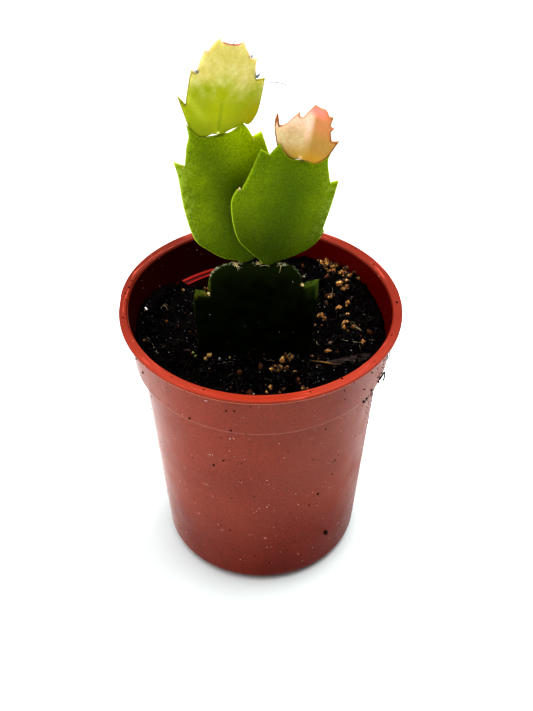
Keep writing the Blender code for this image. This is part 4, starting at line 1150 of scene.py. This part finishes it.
for around, radius, size in (
    (-113.0, 33.4, 0.5), (-70.0, 33.6, 0.5), (2.0, 33.8, 0.7), (-172.0, 34.0, 0.5), (-55.0, 33.0, 0.6),
    (-165.0, 33.2, 0.4), (168.0, 33.9, 0.7), (172.0, 34.2, 0.6), (163.0, 34.4, 0.5), (176.0, 33.6, 0.5),
    (44.0, 34.3, 0.4), (30.0, 33.4, 0.4), (-20.0, 33.6, 0.5), (-38.0, 34.0, 0.4), (-128.0, 33.6, 0.4),
):
    shape = (size, size * 0.8, size * 0.5)
    add_lump(bm, tint, round_place(around, radius, POT_HEIGHT), shape, draw.uniform(0.0, 0.4), draw)
add_piece("wall_crumbs", bm, crumbs)

bm, tint = start_lumps()
for around, height, size, hue in (
    (-104.1, 57.5, 0.6, 0.0), (-112.5, 71.2, 0.8, 0.2), (-115.1, 49.4, 0.4, 0.1), (-113.8, 49.6, 0.3, 0.1),
    (-116.3, 49.2, 0.3, 0.1), (-92.5, 30.3, 0.4, 0.2), (-91.6, 31.0, 0.3, 0.2), (-90.8, 31.6, 0.3, 0.1),
    (-93.6, 29.6, 0.3, 0.2), (-86.8, 32.0, 0.4, 0.1), (-86.0, 32.8, 0.3, 0.1), (-149.3, 9.1, 0.9, 0.5),
    (-148.0, 8.0, 0.5, 0.5), (-99.6, 41.4, 0.3, 0.1), (-100.6, 41.8, 0.3, 0.2), (-70.0, 31.0, 0.4, 0.2),
):
    add_lump(bm, tint, wall_place(around, height), (size, size * 0.7, size * 0.4), hue, draw)
for _ in range(WALL_FLECKS):
    size = draw.uniform(0.15, 0.32)
    spot = wall_place(draw.uniform(-180.0, 180.0), draw.uniform(6.0, 73.0))
    add_lump(bm, tint, spot, (size, size * 0.7, size * 0.4), draw.uniform(0.0, 0.3), draw)
add_piece("pale_dust_flecks", bm, scrap)

# Threads of coir on the wall, each a thickness and then spots as angle, how far it stands off, and height.
threads = []
for thickness, spots in (
    (0.16, (
        (-24.8, 0.1, 62.4), (-24.6, 0.5, 63.8), (-23.9, 0.7, 64.6), (-23.0, 0.8, 64.4), (-22.7, 0.9, 63.2),
        (-22.9, 0.9, 61.6),
    )),
    (0.1, ((-31.0, 0.1, 56.5), (-29.6, 0.5, 57.6), (-28.6, 0.5, 58.9), (-28.8, 0.2, 60.2))),
    (0.1, ((-18.0, 0.1, 69.4), (-17.0, 0.5, 68.2), (-17.6, 0.6, 66.9), (-18.6, 0.1, 66.0))),
):
    threads.append([(*wall_place(around, height, lift), thickness) for around, lift, height in spots])
add_strands("wall_threads", threads, coir)

# The studio: a pale matt floor before a backdrop as pale, soft light from above and behind, and the camera as
# the photograph was taken, looking down at 41 degrees.
FLOOR_REACH = 2.0
FLOOR_DROP = 0.1
LIGHTS_AIM = Vector((0.0, 0.0, 0.06))

bm = bmesh.new()
bmesh.ops.create_grid(bm, x_segments=1, y_segments=1, size=FLOOR_REACH)
floor_mesh = bpy.data.meshes.new("floor")
bm.to_mesh(floor_mesh)
bm.free()
paper, shader, place = start_material("pale studio paper", 0.9, 1.49)
finish_material(shader, layered("#DEE6E6", ("#E2EAEA", patches(place, 40.0, 0.4, 0.6))))
floor_mesh.materials.append(paper)
floor = bpy.data.objects.new("floor", floor_mesh)
floor.location.z = -FLOOR_DROP * MM
bpy.context.scene.collection.objects.link(floor)

world = bpy.data.worlds.new("studio")
world.use_nodes = True
tree = world.node_tree
sky = tree.nodes["Background"]
direction = add_node(tree, "TexCoord", {}).outputs["Generated"]
inputs = {0: direction, 1: (-0.12, 0.12, 0.985)}
height = add_node(tree, "VectorMath", inputs, operation="DOT_PRODUCT").outputs["Value"]
strength = product((height, 0.45, 1.0, 0.4, 3.05))
seen = add_node(tree, "LightPath", {}).outputs["Is Camera Ray"]
backdrop = add_node(tree, "Math", {0: strength, 1: seen}, operation="MAXIMUM").outputs[0]
sky.inputs["Color"].default_value = linear("#FFFFFF")
tree.links.new(backdrop, sky.inputs["Strength"])
bpy.context.scene.world = world

for name, shape, width, depth, power, spot in (
    ("window", "DISK", 0.9, 0.9, 5.4, (0.35, 0.2, 0.8)),
    ("side panel", "RECTANGLE", 0.5, 0.3, 1.4, (-0.5, -0.1, 0.1)),
):
    lamp_data = bpy.data.lights.new(name, "AREA")
    lamp_data.shape = shape
    lamp_data.size, lamp_data.size_y = width, depth
    lamp_data.energy = power
    lamp = bpy.data.objects.new(name, lamp_data)
    lamp.location = spot
    lamp.rotation_euler = (LIGHTS_AIM - lamp.location).to_track_quat("-Z", "Y").to_euler()
    bpy.context.scene.collection.objects.link(lamp)

camera_data = bpy.data.cameras.new("camera")
camera_data.lens = 65.82
camera_data.sensor_width = 36.0
camera = bpy.data.objects.new("camera", camera_data)
camera.location = (0.001413, -0.250723, 0.277224)
camera.rotation_euler = (math.radians(48.908), 0.0, 0.0)
bpy.context.scene.collection.objects.link(camera)
bpy.context.scene.camera = camera
bpy.context.scene.view_settings.view_transform = "Standard"
bpy.context.scene.view_settings.gamma = 0.7
